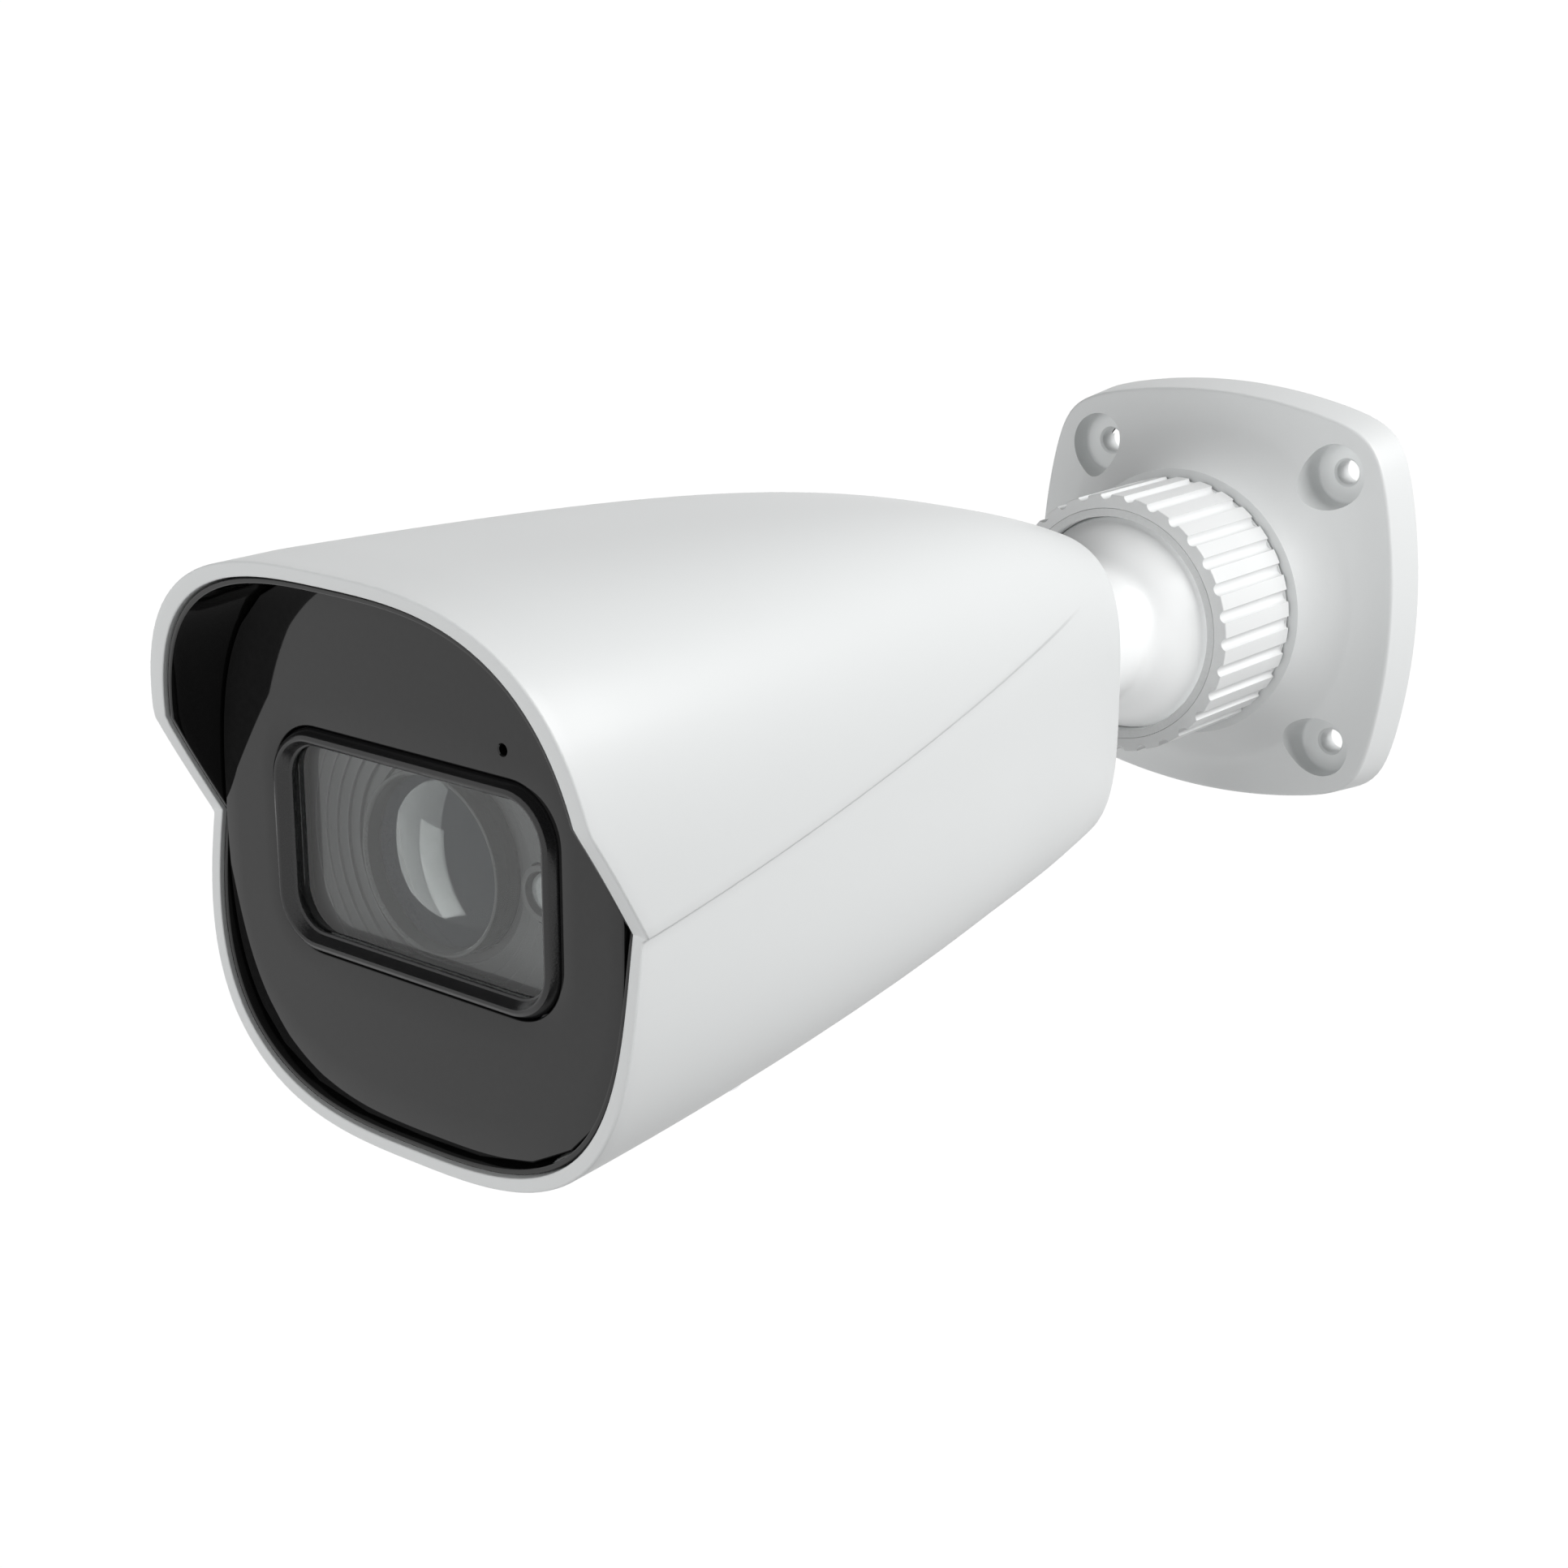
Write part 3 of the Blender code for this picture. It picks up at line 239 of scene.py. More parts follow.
class Finish(Nodes):
    """A material with one Principled shader and the nodes that feed it."""

    def __init__(self, name, base, roughness, metallic=0.0, **uniform):
        self.material = bpy.data.materials.new(name)
        self.material.use_nodes = True
        super().__init__(self.material.node_tree)
        self.shader = self.tree.nodes["Principled BSDF"]
        self.base = tuple(base)
        self.shader.inputs["Base Color"].default_value = (*self.base, 1.0)
        self.shader.inputs["Roughness"].default_value = roughness
        self.shader.inputs["Metallic"].default_value = metallic
        for socket, value in uniform.items():
            self.shader.inputs[socket.replace("_", " ").title().replace("Ior", "IOR")].default_value = value

    def place(self):
        return self.node("ShaderNodeTexCoord", output=3)

    def axis(self, output):
        return self.node("ShaderNodeSeparateXYZ", inputs={0: self.place()}, output=output)

    def noise(self, scale, detail=2.0, roughness=0.5, stretch=(1.0, 1.0, 1.0)):
        where = self.node("ShaderNodeMapping", inputs={"Vector": self.place(), "Scale": stretch})
        return self.node("ShaderNodeTexNoise", inputs={"Vector": where, "Scale": scale, "Detail": detail,
                                                       "Roughness": roughness})

    def cells(self, scale):
        return self.node("ShaderNodeTexVoronoi", inputs={"Vector": self.place(), "Scale": scale})

    def between(self, amount, low, high):
        """A colour between two, by a value."""
        ends = [end if isinstance(end, Maths) else (*end, 1.0) for end in (low, high)]
        return self.node("ShaderNodeMix", {"data_type": "RGBA"}, {0: amount, 6: ends[0], 7: ends[1]}, 2)

    def feed(self, socket, value):
        self.tree.links.new(value.socket, self.shader.inputs[socket])
        return self

    def bump(self, height, distance, strength=1.0):
        relief = self.node("ShaderNodeBump", inputs={"Height": height, "Distance": distance,
                                                     "Strength": strength})
        return self.feed("Normal", relief)

    def shade(self, amount, change):
        """Let the base colour vary by a share of itself."""
        low = [max(0.0, c * (1.0 - change)) for c in self.base]
        high = [min(1.0, c * (1.0 + change)) for c in self.base]
        return self.feed("Base Color", self.between(amount, low, high))


def powder_coat(name, base, roughness):
    """Baked powder coat: a faint orange peel, finer grain and small changes of gloss."""
    finish = Finish(name, base, roughness, specular_ior_level=0.4, coat_weight=0.1, coat_roughness=0.22)
    peel = finish.noise(520.0, 2.0, 0.45)
    grain = finish.noise(2600.0, 1.0, 0.5)
    cloud = finish.noise(22.0, 3.0, 0.55)
    finish.shade(cloud * 0.75 + grain * 0.25, 0.012)
    finish.feed("Roughness", cloud * 0.07 + grain * 0.05 + (roughness - 0.06))
    return finish.bump(peel * 0.8 + grain * 0.2, 0.00002, 0.55).material


def gloss_black(name, base, roughness=0.035):
    """Polished black plastic with faint moulding waves and dust-fine changes of gloss."""
    finish = Finish(name, base, roughness, specular_ior_level=0.47)
    cloud = finish.noise(35.0, 4.0, 0.6)
    speck = finish.cells(900.0)
    finish.feed("Roughness", cloud * 0.02 + roughness)
    finish.shade(speck, 0.2)
    return finish.bump(finish.noise(28.0, 1.0, 0.4), 0.000012, 0.35).material


def satin_black(name, base, roughness):
    """Black moulded plastic with a spark-eroded grain."""
    finish = Finish(name, base, roughness, specular_ior_level=0.5)
    grain = finish.noise(2400.0, 3.0, 0.6)
    cloud = finish.noise(60.0, 3.0, 0.5)
    finish.feed("Roughness", cloud * 0.1 + grain * 0.08 + (roughness - 0.08))
    finish.shade(grain, 0.25)
    return finish.bump(grain, 0.00003, 0.5).material


def machined(name, base, roughness, lines=1800.0, along=(0.02, 1.0, 1.0)):
    """Bare metal with fine tool lines."""
    finish = Finish(name, base, roughness, 1.0)
    line = finish.noise(lines, 2.0, 0.6, along)
    cloud = finish.noise(80.0, 3.0, 0.5)
    finish.feed("Roughness", line * 0.12 + cloud * 0.1 + (roughness - 0.1))
    finish.shade(cloud, 0.06)
    return finish.bump(line, 0.00001, 0.4).material


def polished_metal(name, base):
    finish = Finish(name, base, 0.07, 1.0)
    cloud = finish.noise(900.0, 2.0, 0.5)
    finish.feed("Roughness", cloud * 0.06 + 0.05)
    return finish.bump(cloud, 0.000004, 0.3).material


def rubber(name, base):
    finish = Finish(name, base, 0.75, specular_ior_level=0.3)
    grain = finish.noise(1600.0, 3.0, 0.6)
    finish.feed("Roughness", grain * 0.2 + 0.62)
    finish.shade(grain, 0.3)
    return finish.bump(grain, 0.00004, 0.6).material


def circuit_board(name, base):
    """Green board: tracks and pads under a lacquer."""
    finish = Finish(name, base, 0.32, specular_ior_level=0.5)
    across, along = finish.axis(0), finish.axis(1)
    fine = finish.noise(240.0, 1.0, 0.5)
    tracks = ((across + fine * 0.0016) * 3400.0).wave().above(0.55)
    lanes = ((along + fine * 0.002) * 2100.0).wave().above(0.62)
    pads = 1.0 - finish.cells(420.0).above(0.32)
    copper = finish.between(tracks * 0.6 + lanes * 0.4, base, [min(1.0, c * 2.1 + 0.02) for c in base])
    finish.feed("Base Color", finish.between(pads * 0.85, copper, (0.72, 0.55, 0.26)))
    finish.feed("Metallic", pads * 0.8)
    finish.feed("Roughness", 0.36 - tracks * 0.06)
    return finish.bump(tracks * 0.5 + pads, 0.00003, 0.5).material


def moulded(name, base, roughness=0.45):
    finish = Finish(name, base, roughness)
    grain = finish.noise(1500.0, 2.0, 0.55)
    finish.feed("Roughness", grain * 0.12 + (roughness - 0.06))
    finish.shade(grain, 0.06)
    return finish.bump(grain, 0.00002, 0.4).material


def window_clear(name, tint, square_on=0.045):
    """A clear pane: what is behind it, with a mirror image that grows towards glancing views."""
    finish = Finish(name, tint, 0.0)
    wave = finish.noise(9.0, 1.0, 0.4)
    relief = finish.node("ShaderNodeBump", inputs={"Height": wave, "Distance": 0.00001, "Strength": 0.2})
    clear = finish.node("ShaderNodeBsdfTransparent", inputs={"Color": (*tint, 1.0)})
    mirror = finish.node("ShaderNodeBsdfGlossy", inputs={"Color": (1.0, 1.0, 1.0, 1.0), "Roughness": 0.01,
                                                        "Normal": relief})
    glance = finish.node("ShaderNodeLayerWeight", inputs={"Blend": 0.5}, output=1)
    share = glance ** 5.0 * (1.0 - square_on) + square_on
    mixed = finish.node("ShaderNodeMixShader", inputs={0: share, 1: clear, 2: mirror})
    output = finish.tree.nodes["Material Output"]
    finish.tree.links.new(mixed.socket, output.inputs["Surface"])
    finish.tree.nodes.remove(finish.shader)
    return finish.material


def coated_lens(name, base):
    """Dark glass with an anti-glare coat that tints its mirror image."""
    finish = Finish(name, base, 0.02, specular_ior_level=0.14)
    cloud = finish.noise(60.0, 2.0, 0.5)
    finish.feed("Roughness", cloud * 0.01 + 0.015)
    return finish.shade(cloud, 0.15).material


def led_lens(name, base):
    finish = Finish(name, base, 0.12, specular_ior_level=0.6, coat_weight=0.5, coat_roughness=0.04)
    cells = finish.cells(1500.0)
    return finish.shade(cells, 0.12).bump(cells, 0.00003, 0.3).material


# ---- shapes ---------------------------------------------------------------------------------------------------

def full_turn(steps):
    return [2 * math.pi * i / steps for i in range(steps)]


def hoop(radius, ahead, angles, at=(0.0, 0.0)):
    """A ring of points about a line that runs along -Y through at."""
    return [(at[0] + radius * math.cos(a), -ahead, at[1] + radius * math.sin(a)) for a in angles]


def level_hoop(radius, z, steps, x=0.0):
    """A level ring of points under the middle of the service cover, moved sideways by x."""
    return [(x + radius * math.cos(a), -COVER_AHEAD + radius * math.sin(a), z) for a in full_turn(steps)]


def quarter(count, first=0):
    """(1 - cosine, 1 - sine) pairs over a quarter turn, for rounded edges."""
    angles = [math.pi / 2 * i / count for i in range(first, count + 1)]
    return [(1 - math.cos(angle), 1 - math.sin(angle)) for angle in angles]


def solid(name, rows, material, loop=False):
    """A closed skin over rings of points, one after another. A ring of one point is a pole."""
    mesh = bpy.data.meshes.new(name)
    work = bmesh.new()
    rings = [[work.verts.new(Vector(point) * MM) for point in row] for row in rows]
    pairs = list(zip(rings, rings[1:]))
    if loop:
        pairs.append((rings[-1], rings[0]))
    for first, second in pairs:
        count = max(len(first), len(second))
        for i in range(count):
            j = (i + 1) % count
            if len(first) == 1:
                work.faces.new((first[0], second[j], second[i]))
            elif len(second) == 1:
                work.faces.new((first[i], first[j], second[0]))
            else:
                work.faces.new((first[i], first[j], second[j], second[i]))
    if not loop:
        for ring in (rings[0], rings[-1]):
            if len(ring) > 1:
                work.faces.new(ring)
    bmesh.ops.remove_doubles(work, verts=work.verts, dist=WELD)
    bmesh.ops.recalc_face_normals(work, faces=work.faces)
    work.to_mesh(mesh)
    work.free()
    mesh.materials.append(material)
    obj = bpy.data.objects.new(name, mesh)
    bpy.context.scene.collection.objects.link(obj)
    return reshade(obj)


def rounded(profile, radius, segments=4, closed=True):
    """Round every corner of a profile; a point may carry its own radius as a third number."""
    points = []
    count = len(profile)
    for i, point in enumerate(profile):
        here = Vector(point[:2])
        own = point[2] if len(point) > 2 else radius
        if own == 0.0 or (not closed and i in (0, count - 1)):
            points.append(tuple(here))
            continue
        before = Vector(profile[i - 1][:2]) - here
        after = Vector(profile[(i + 1) % count][:2]) - here
        turn = before.angle(after, math.pi)
        if turn > math.radians(172.0):
            points.append(tuple(here))
            continue
        reach = min(own / math.tan(turn / 2), 0.45 * before.length, 0.45 * after.length)
        start = here + before.normalized() * reach
        end = here + after.normalized() * reach
        for step in range(segments + 1):
            t = step / segments
            points.append(tuple(start * (1 - t) ** 2 + here * 2 * t * (1 - t) + end * t ** 2))
    return points


def turned(name, profile, material, at=(0.0, 0.0), steps=128, loop=True):
    """Turn (radius, ahead) points about the line through at that runs along -Y."""
    rows = [[(at[0], -ahead, at[1])] if radius == 0.0 else hoop(radius, ahead, full_turn(steps), at)
            for radius, ahead in profile]
    return solid(name, rows, material, loop)


def ball_arc(radius, centre, start, end, count):
    """(radius, ahead) points on a ball, angles in degrees from straight ahead."""
    points = []
    for i in range(count + 1):
        angle = math.radians(start + (end - start) * i / count)
        points.append((radius * math.sin(angle), centre + radius * math.cos(angle)))
    return points


def rectangle(half, corner, inset=0.0, centre=(0.0, 0.0), arc=10, straight=6):
    """A rounded rectangle moved inwards by inset, always with the same number of points."""
    half_x, half_z = half[0] - inset, half[1] - inset
    corner = max(corner - inset, 0.05)
    points = []
    signs = ((1, 1), (-1, 1), (-1, -1), (1, -1))
    for quarter, (sx, sz) in enumerate(signs):
        cx, cz = sx * (half_x - corner), sz * (half_z - corner)
        for i in range(arc + 1):
            angle = math.pi / 2 * (quarter + i / arc)
            points.append((cx + corner * math.cos(angle), cz + corner * math.sin(angle)))
        nx, nz = signs[(quarter + 1) % 4]
        angle = math.pi / 2 * (quarter + 1)
        start = points[-1]
        end = (nx * (half_x - corner) + corner * math.cos(angle),
               nz * (half_z - corner) + corner * math.sin(angle))
        for i in range(1, straight):
            t = i / straight
            points.append((start[0] + (end[0] - start[0]) * t, start[1] + (end[1] - start[1]) * t))
    return [(x + centre[0], z + centre[1]) for x, z in points]


def superellipse_radius(angle, half_x, half_z, exponent):
    """Distance to the edge of a superellipse in one direction."""
    c, s = abs(math.cos(angle)), abs(math.sin(angle))
    return ((c / half_x) ** exponent + (s / half_z) ** exponent) ** (-1.0 / exponent)


def bowed_square_radius(angle, half, bow, exponent):
    """Distance to the edge of a square whose sides are arcs of radius bow, with its corners rounded."""
    c, s = abs(math.cos(angle)), abs(math.sin(angle))
    radius = half
    for _ in range(30):
        x, z = radius * c, radius * s
        across = x / (half - z * z / (2 * bow))
        along = z / (half - x * x / (2 * bow))
        radius /= (across ** exponent + along ** exponent) ** (1.0 / exponent)
    return radius


def swept(name, outline, profile, material, loop=True):
    """Carry an (inset, ahead) profile round an outline."""
    rows = [[(x, -ahead, z) for x, z in outline(inset)] for inset, ahead in profile]
    return solid(name, rows, material, loop)


def cut(obj, tool, operation="DIFFERENCE"):
    """Cut or join with a tool, which is removed."""
    modifier = obj.modifiers.new("cut", "BOOLEAN")
    modifier.operation = operation
    modifier.solver = "EXACT"
    modifier.object = tool
    flatten(obj)
    bpy.data.objects.remove(tool)
    return obj


def flatten(obj):
    """Turn the evaluated object into its plain mesh and drop its modifiers."""
    bpy.context.view_layer.update()
    graph = bpy.context.evaluated_depsgraph_get()
    mesh = bpy.data.meshes.new_from_object(obj.evaluated_get(graph))
    obj.modifiers.clear()
    obj.data = mesh
    return obj


def reshade(obj, sharp=SHARP):
    """Shade smooth, with the edges over this angle kept sharp."""
    obj.data.shade_smooth()
    obj.data.set_sharp_from_angle(angle=math.radians(sharp))
    return obj


def settle(obj, body, slot, *replaced):
    """Hang a finished piece on its body, for the nodes it stands for."""
    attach(obj, body)
    if replaced:
        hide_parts(*replaced)
    return obj


# ---- housing shape --------------------------------------------------------------------------------------------

def housing_size(ahead):
    """Half width, top, bottom and exponent of the housing's section, in millimetres."""
    t = min(1.0, max(0.0, (FRONT_SPAN - ahead) / (FRONT_SPAN - WALL_SPAN)))
    half_width = 47.2 - 23.2 * t ** 1.7
    top = 46.0 - 20.6 * (0.36 * t + 0.64 * t ** 3.93)
    bottom = -48.8 + 14.0 * (0.76 * t + 0.24 * t ** 4.08)
    return half_width, top, bottom, 3.0 + 0.4 * t


def crease_height_at(ahead):
    return -1.4 + 0.143 * (233.0 - ahead)


def crease_share(ahead):
    u = min(1.0, max(0.0, (ahead - 92.0) / 33.0))
    return u * u * (3 - 2 * u)


def front_edge(z):
    """How far ahead the hood, cheeks and chin reach at height z."""
    if z >= 16.0:
        return 243.9 + 0.173 * (z - 16.0)
    if z >= -1.6:
        return 233.4 + 10.5 * (z + 1.6) / 17.6
    if z >= -34.0:
        u = (-1.6 - z) / 32.4
        return 233.4 + 2.7 * (1 - (1 - u) ** 2)
    return 236.1 - 0.6 * (-34.0 - z) / 26.0


def columns():
    """Lines along the housing: (span, share, lowered), so that some of them follow the creases."""
    result = [("upper", i / UPPER_COLUMNS, 0.0) for i in range(UPPER_COLUMNS)]
    result += [("left", i / STEP_COLUMNS, i / STEP_COLUMNS) for i in range(STEP_COLUMNS)]
    result += [("lower", i / LOWER_COLUMNS, 1.0) for i in range(LOWER_COLUMNS)]
    result += [("right", i / STEP_COLUMNS, 1.0 - i / STEP_COLUMNS) for i in range(STEP_COLUMNS)]
    return result


def housing_point(column, ahead, side=0.0, high=0.0, creased=True):
    """A point of the housing's skin moved inwards by side and high."""
    span, share, lowered = column
    settings = bpy.context.scene.camera_housing
    half_width, top, bottom, exponent = housing_size(ahead)
    mid, half_height = (top + bottom) / 2, (top - bottom) / 2
    crease = crease_height_at(ahead) - mid
    reach = half_width * (1 - min(0.999, abs(crease / half_height)) ** exponent) ** (1 / exponent)
    upper = math.atan2(crease, reach)
    lower = math.atan2(crease - settings.crease_height / MM, reach)
    if span == "upper":
        angle = upper + (math.pi - 2 * upper) * share
    elif span == "left":
        angle = math.pi - upper + (upper - lower) * share
    elif span == "lower":
        angle = math.pi - lower + (math.pi + 2 * lower) * share
    else:
        angle = 2 * math.pi + lower + (upper - lower) * share
    drop = lowered * lowered * (3 - 2 * lowered)
    depth = settings.crease_depth / MM * crease_share(ahead) * drop if creased else 0.0
    radius = superellipse_radius(angle, half_width - side - depth, half_height - high, exponent)
    return radius * math.cos(angle), -ahead, mid + radius * math.sin(angle)


def at_front(column, back, side, high, creased=True):
    """The housing's point where it meets the front edge moved back."""
    ahead = 236.0
    for _ in range(8):
        ahead = front_edge(housing_point(column, ahead, side, high, creased)[2]) - back
    return housing_point(column, ahead, side, high, creased)


def rim_rows(lines, outer, inner, back, radius_out, radius_in, creased):
    """Rings over a front rim from its outer side to its inner side, both edges rounded."""
    rows = []
    for inwards, backwards in quarter(5):
        inset = radius_out * inwards
        rows.append([at_front(line, back + radius_out * backwards, outer[0] + inset, outer[1] + inset,
                              creased)
                     for line in lines])
    for backwards, outwards in quarter(5):
        inset = radius_in * outwards
        rows.append([at_front(line, back + radius_in * backwards, inner[0] - inset, inner[1] - inset, False)
                     for line in lines])
    return rows


def between_rows(start, end, count):
    """Rings from one to another, evenly spaced, both included."""
    return [[tuple(a + (b - a) * (i / count) for a, b in zip(p, q)) for p, q in zip(start, end)]
            for i in range(count + 1)]


def along_rows(lines, rear, back, side, high, creased, count):
    """Rings along the housing from the rear to the front edge moved back."""
    fronts = [-at_front(line, back, side, high, creased)[1] for line in lines]
    rows = []
    for i in range(count + 1):
        t = i / count
        rows.append([housing_point(line, rear + (front - rear) * t, side, high, creased)
                     for line, front in zip(lines, fronts)])
    return rows


def circle_ring(lines, radius, ahead):
    """A ring whose points lie in the same directions as the housing's columns."""
    ring = []
    for line in lines:
        x, _, z = housing_point(line, ahead)
        size = math.hypot(x, z)
        ring.append((radius * x / size, -ahead, radius * z / size))
    return ring


def housing_block(name, inset, material, front=226.0, rear=150.0):
    """A solid with the housing's outline, for trimming what lies on its underside."""
    lines = columns()
    rows = [[housing_point(line, rear + (front - rear) * i / 12, inset, inset) for line in lines]
            for i in range(13)]
    return solid(name, rows, material)


def cover_outline(inset):
    return rectangle(COVER_HALF, COVER_CORNER, inset)


def box_piece(name, low, high, material):
    """A box between two opposite corners."""
    rows = [[(low[0], low[1], z), (high[0], low[1], z), (high[0], high[1], z), (low[0], high[1], z)]
            for z in (low[2], high[2])]
    return solid(name, rows, material)


def underside(x, ahead):
    """Height of the housing's underside."""
    half_width, top, bottom, exponent = housing_size(ahead)
    half_width -= bpy.context.scene.camera_housing.crease_depth / MM * crease_share(ahead)
    mid, half_height = (top + bottom) / 2, (top - bottom) / 2
    return mid - half_height * (1 - abs(x / half_width) ** exponent) ** (1 / exponent)


# ---- finishes kept for all operators --------------------------------------------------------------------------

FINISHES = {}


def prepare_finishes():
    settings = bpy.context.scene.camera_finish
    coat, bracket = tuple(settings.coat), tuple(settings.bracket_coat)
    black, satin = tuple(settings.gloss_black), tuple(settings.satin_black)
    rough = settings.coat_roughness
    FINISHES.update({
        "white_cast": powder_coat("white_powder_coat", coat, rough),
        "collar_white": powder_coat("collar_powder_coat", bracket, rough),
        "ball_white": powder_coat("ball_powder_coat", bracket, rough - 0.08),
        "clamp_grey": moulded("clamp_grey_plastic", (0.78, 0.79, 0.79), 0.5),
        "seat_plastic": moulded("seat_acetal", (0.55, 0.56, 0.57), 0.4),
        "black_gloss": gloss_black("gloss_black_plastic", black),
        "black_satin": satin_black("satin_black_plastic", satin, 0.2),
        "clear_window": window_clear("window_glass_clear", (0.97, 0.985, 0.98)),
        "lens_glass": coated_lens("coated_lens_glass", (0.012, 0.014, 0.02)),
        # The lens surround is dark satin plastic given a lighter grey than the bezel's satin black: the extra
        # lightness is painted light for the little light that reaches behind the window.
        "lens_surround": satin_black("lens_surround_plastic", (0.045, 0.045, 0.046), 0.4),
        "led_lens": led_lens("light_lens", (0.22, 0.225, 0.23)),
        "seal_rubber": rubber("seal_rubber_black", (0.03, 0.03, 0.03)),
        "pad_rubber": rubber("thermal_pad_grey", (0.35, 0.37, 0.42)),
        "bare_aluminium": machined("bare_aluminium_milled", (0.62, 0.63, 0.64), 0.35),
        "steel": machined("plated_steel", (0.6, 0.6, 0.59), 0.3, 2400.0, (1.0, 0.03, 1.0)),
        "polished_screw": polished_metal("polished_screw_steel", (0.78, 0.79, 0.8)),
        "pinion_brass": machined("turned_brass", (0.78, 0.57, 0.25), 0.28, 1500.0, (1.0, 0.05, 1.0)),
        "circuit_board": circuit_board("circuit_board_green", (0.015, 0.12, 0.05)),
        "gear_plastic": moulded("gear_acetal", (0.33, 0.34, 0.35), 0.5),
    })


class HOUSING_OT_shell(bpy.types.Operator):
    """Build the tapered white shell with its crease, hood and service opening"""
    bl_idname = "security_camera.shell"
    bl_label = "Housing shell"

    def execute(self, context):
        settings = context.scene.camera_housing
        white = FINISHES["white_cast"]
        lines = columns()
        rim, rear = settings.rim_radius / MM, settings.rear_radius / MM
        rows = [circle_ring(lines, REAR_OPENING, WALL_SPAN + 0.4),
                circle_ring(lines, REAR_OPENING + 0.4, WALL_SPAN)]
        flat = [housing_point(line, WALL_SPAN, rear, rear) for line in lines]
        rows += between_rows(rows[-1], flat, 3)[1:]
        for onwards, inwards in quarter(6, 1):
            inset = rear * inwards
            rows.append([housing_point(line, WALL_SPAN + rear * onwards, inset, inset) for line in lines])
        rows += along_rows(lines, WALL_SPAN + rear, rim, 0.0, 0.0, True, 72)[1:-1]
        rows += rim_rows(lines, (0.0, 0.0), WALL, 0.0, rim, 0.25, True)
        inside = along_rows(lines, WALL_SPAN + 3.5, 0.25, *WALL, False, 24)
        rows += list(reversed(inside))[1:]
        rows.append(circle_ring(lines, REAR_OPENING, WALL_SPAN + 3.5))
        shell = solid("housing_shell", rows, white, True)

        pad = box_piece("floor_pad", (-27.0, -COVER_AHEAD - 25.0, -60.0), (27.0, -COVER_AHEAD + 25.0, -39.8),
                        white)
        cut(shell, cut(pad, housing_block("pad_limit", 1.0, white), "INTERSECT"), "UNION")
        recess = solid("recess", [[(x, -COVER_AHEAD + y, z) for x, y in cover_outline(-0.3)]
                                  for z in (-60.0, -30.0)],
                       white)
        cut(shell, cut(recess, housing_block("recess_floor", 1.9, white)))
        cut(shell, box_piece("opening", (-15.0, -COVER_AHEAD - 16.0, -60.0),
                             (15.0, -COVER_AHEAD + 16.0, -30.0), white))
        for x in (-COVER_SCREW_SIDE, COVER_SCREW_SIDE):
            cut(shell, solid("screw_hole", [level_hoop(1.7, z, 24, x) for z in (-60.0, -30.0)], white))
        settle(reshade(shell), "camera", "white_cast", "main_shell")
        return {"FINISHED"}


class HOUSING_OT_lining(bpy.types.Operator):
    """Build the thin black lining inside the hood"""
    bl_idname = "security_camera.lining"
    bl_label = "Hood lining"

    def execute(self, context):
        recess = context.scene.camera_housing.liner_recess / MM
        lines = columns()
        outer = (WALL[0] + 0.3, WALL[1] + 0.3)
        inner = (outer[0] + 0.8, outer[1] + 0.8)
        rows = along_rows(lines, 228.3, recess + 0.2, *outer, False, 8)[:-1]
        rows += rim_rows(lines, outer, inner, recess, 0.2, 0.2, False)
        rows += list(reversed(along_rows(lines, 228.3, recess + 0.2, *inner, False, 8)))[1:]
        lining = solid("hood_lining", rows, FINISHES["black_gloss"], True)
        settle(lining, "camera", "black_gloss", "hood_liner")
        return {"FINISHED"}


def bezel_outline(inset):
    return rectangle(BEZEL_HALF, BEZEL_CORNER, inset, WINDOW, 14, 8)


class FRONT_OT_panel(bpy.types.Operator):
    """Build the glossy front panel with the window's and the microphone's holes"""
    bl_idname = "security_camera.panel"
    bl_label = "Front panel"

    def execute(self, context):
        settings = context.scene.camera_front
        edge = settings.panel_edge / MM
        front, back = PANEL_FRONT, 230.2
        hole = bezel_outline(-0.3)
        half_width, top, bottom, exponent = housing_size(front)
        side, high = WALL[0] + 1.4, WALL[1] + 1.4
        mid = (top + bottom) / 2

        def outer(inset):
            ring = []
            for x, z in hole:
                angle = math.atan2(z - WINDOW[1], x)
                radius = superellipse_radius(angle, half_width - side - inset,
                                             (top - bottom) / 2 - high - inset,
                                             exponent)
                ring.append((radius * math.cos(angle), mid + radius * math.sin(angle)))
            return ring

        def ring_at(points, ahead):
            return [(x, -ahead, z) for x, z in points]

        rows = [ring_at(outer(0.0), back), ring_at(outer(0.0), front - edge)]
        rows += [ring_at(outer(edge * inwards), front - edge * backwards)
                 for inwards, backwards in quarter(4, 1)]
        rim = outer(edge)
        lip = bezel_outline(-0.3 - edge)
        for i in range(1, 4):
            rows.append(ring_at([(a + (c - a) * i / 4, b + (d - b) * i / 4)
                                 for (a, b), (c, d) in zip(rim, lip)], front))
        rows += [ring_at(bezel_outline(-0.3 - edge * outwards), front - edge * backwards)
                 for backwards, outwards in quarter(4)]
        rows.append(ring_at(hole, back))
        panel = solid("front_panel_gloss", rows, FINISHES["black_gloss"], True)
        radius = settings.microphone_hole / MM
        pin = turned("pin", [(0.0, 240.0), (radius + 0.6, 234.2), (radius, front - 0.2), (radius, 228.0),
                             (0.0, 228.0)],
                     FINISHES["black_gloss"], (19.8, 20.6), 40, False)
        cut(panel, pin)
        settle(reshade(panel), "camera", "black_gloss", "front_panel")
        return {"FINISHED"}


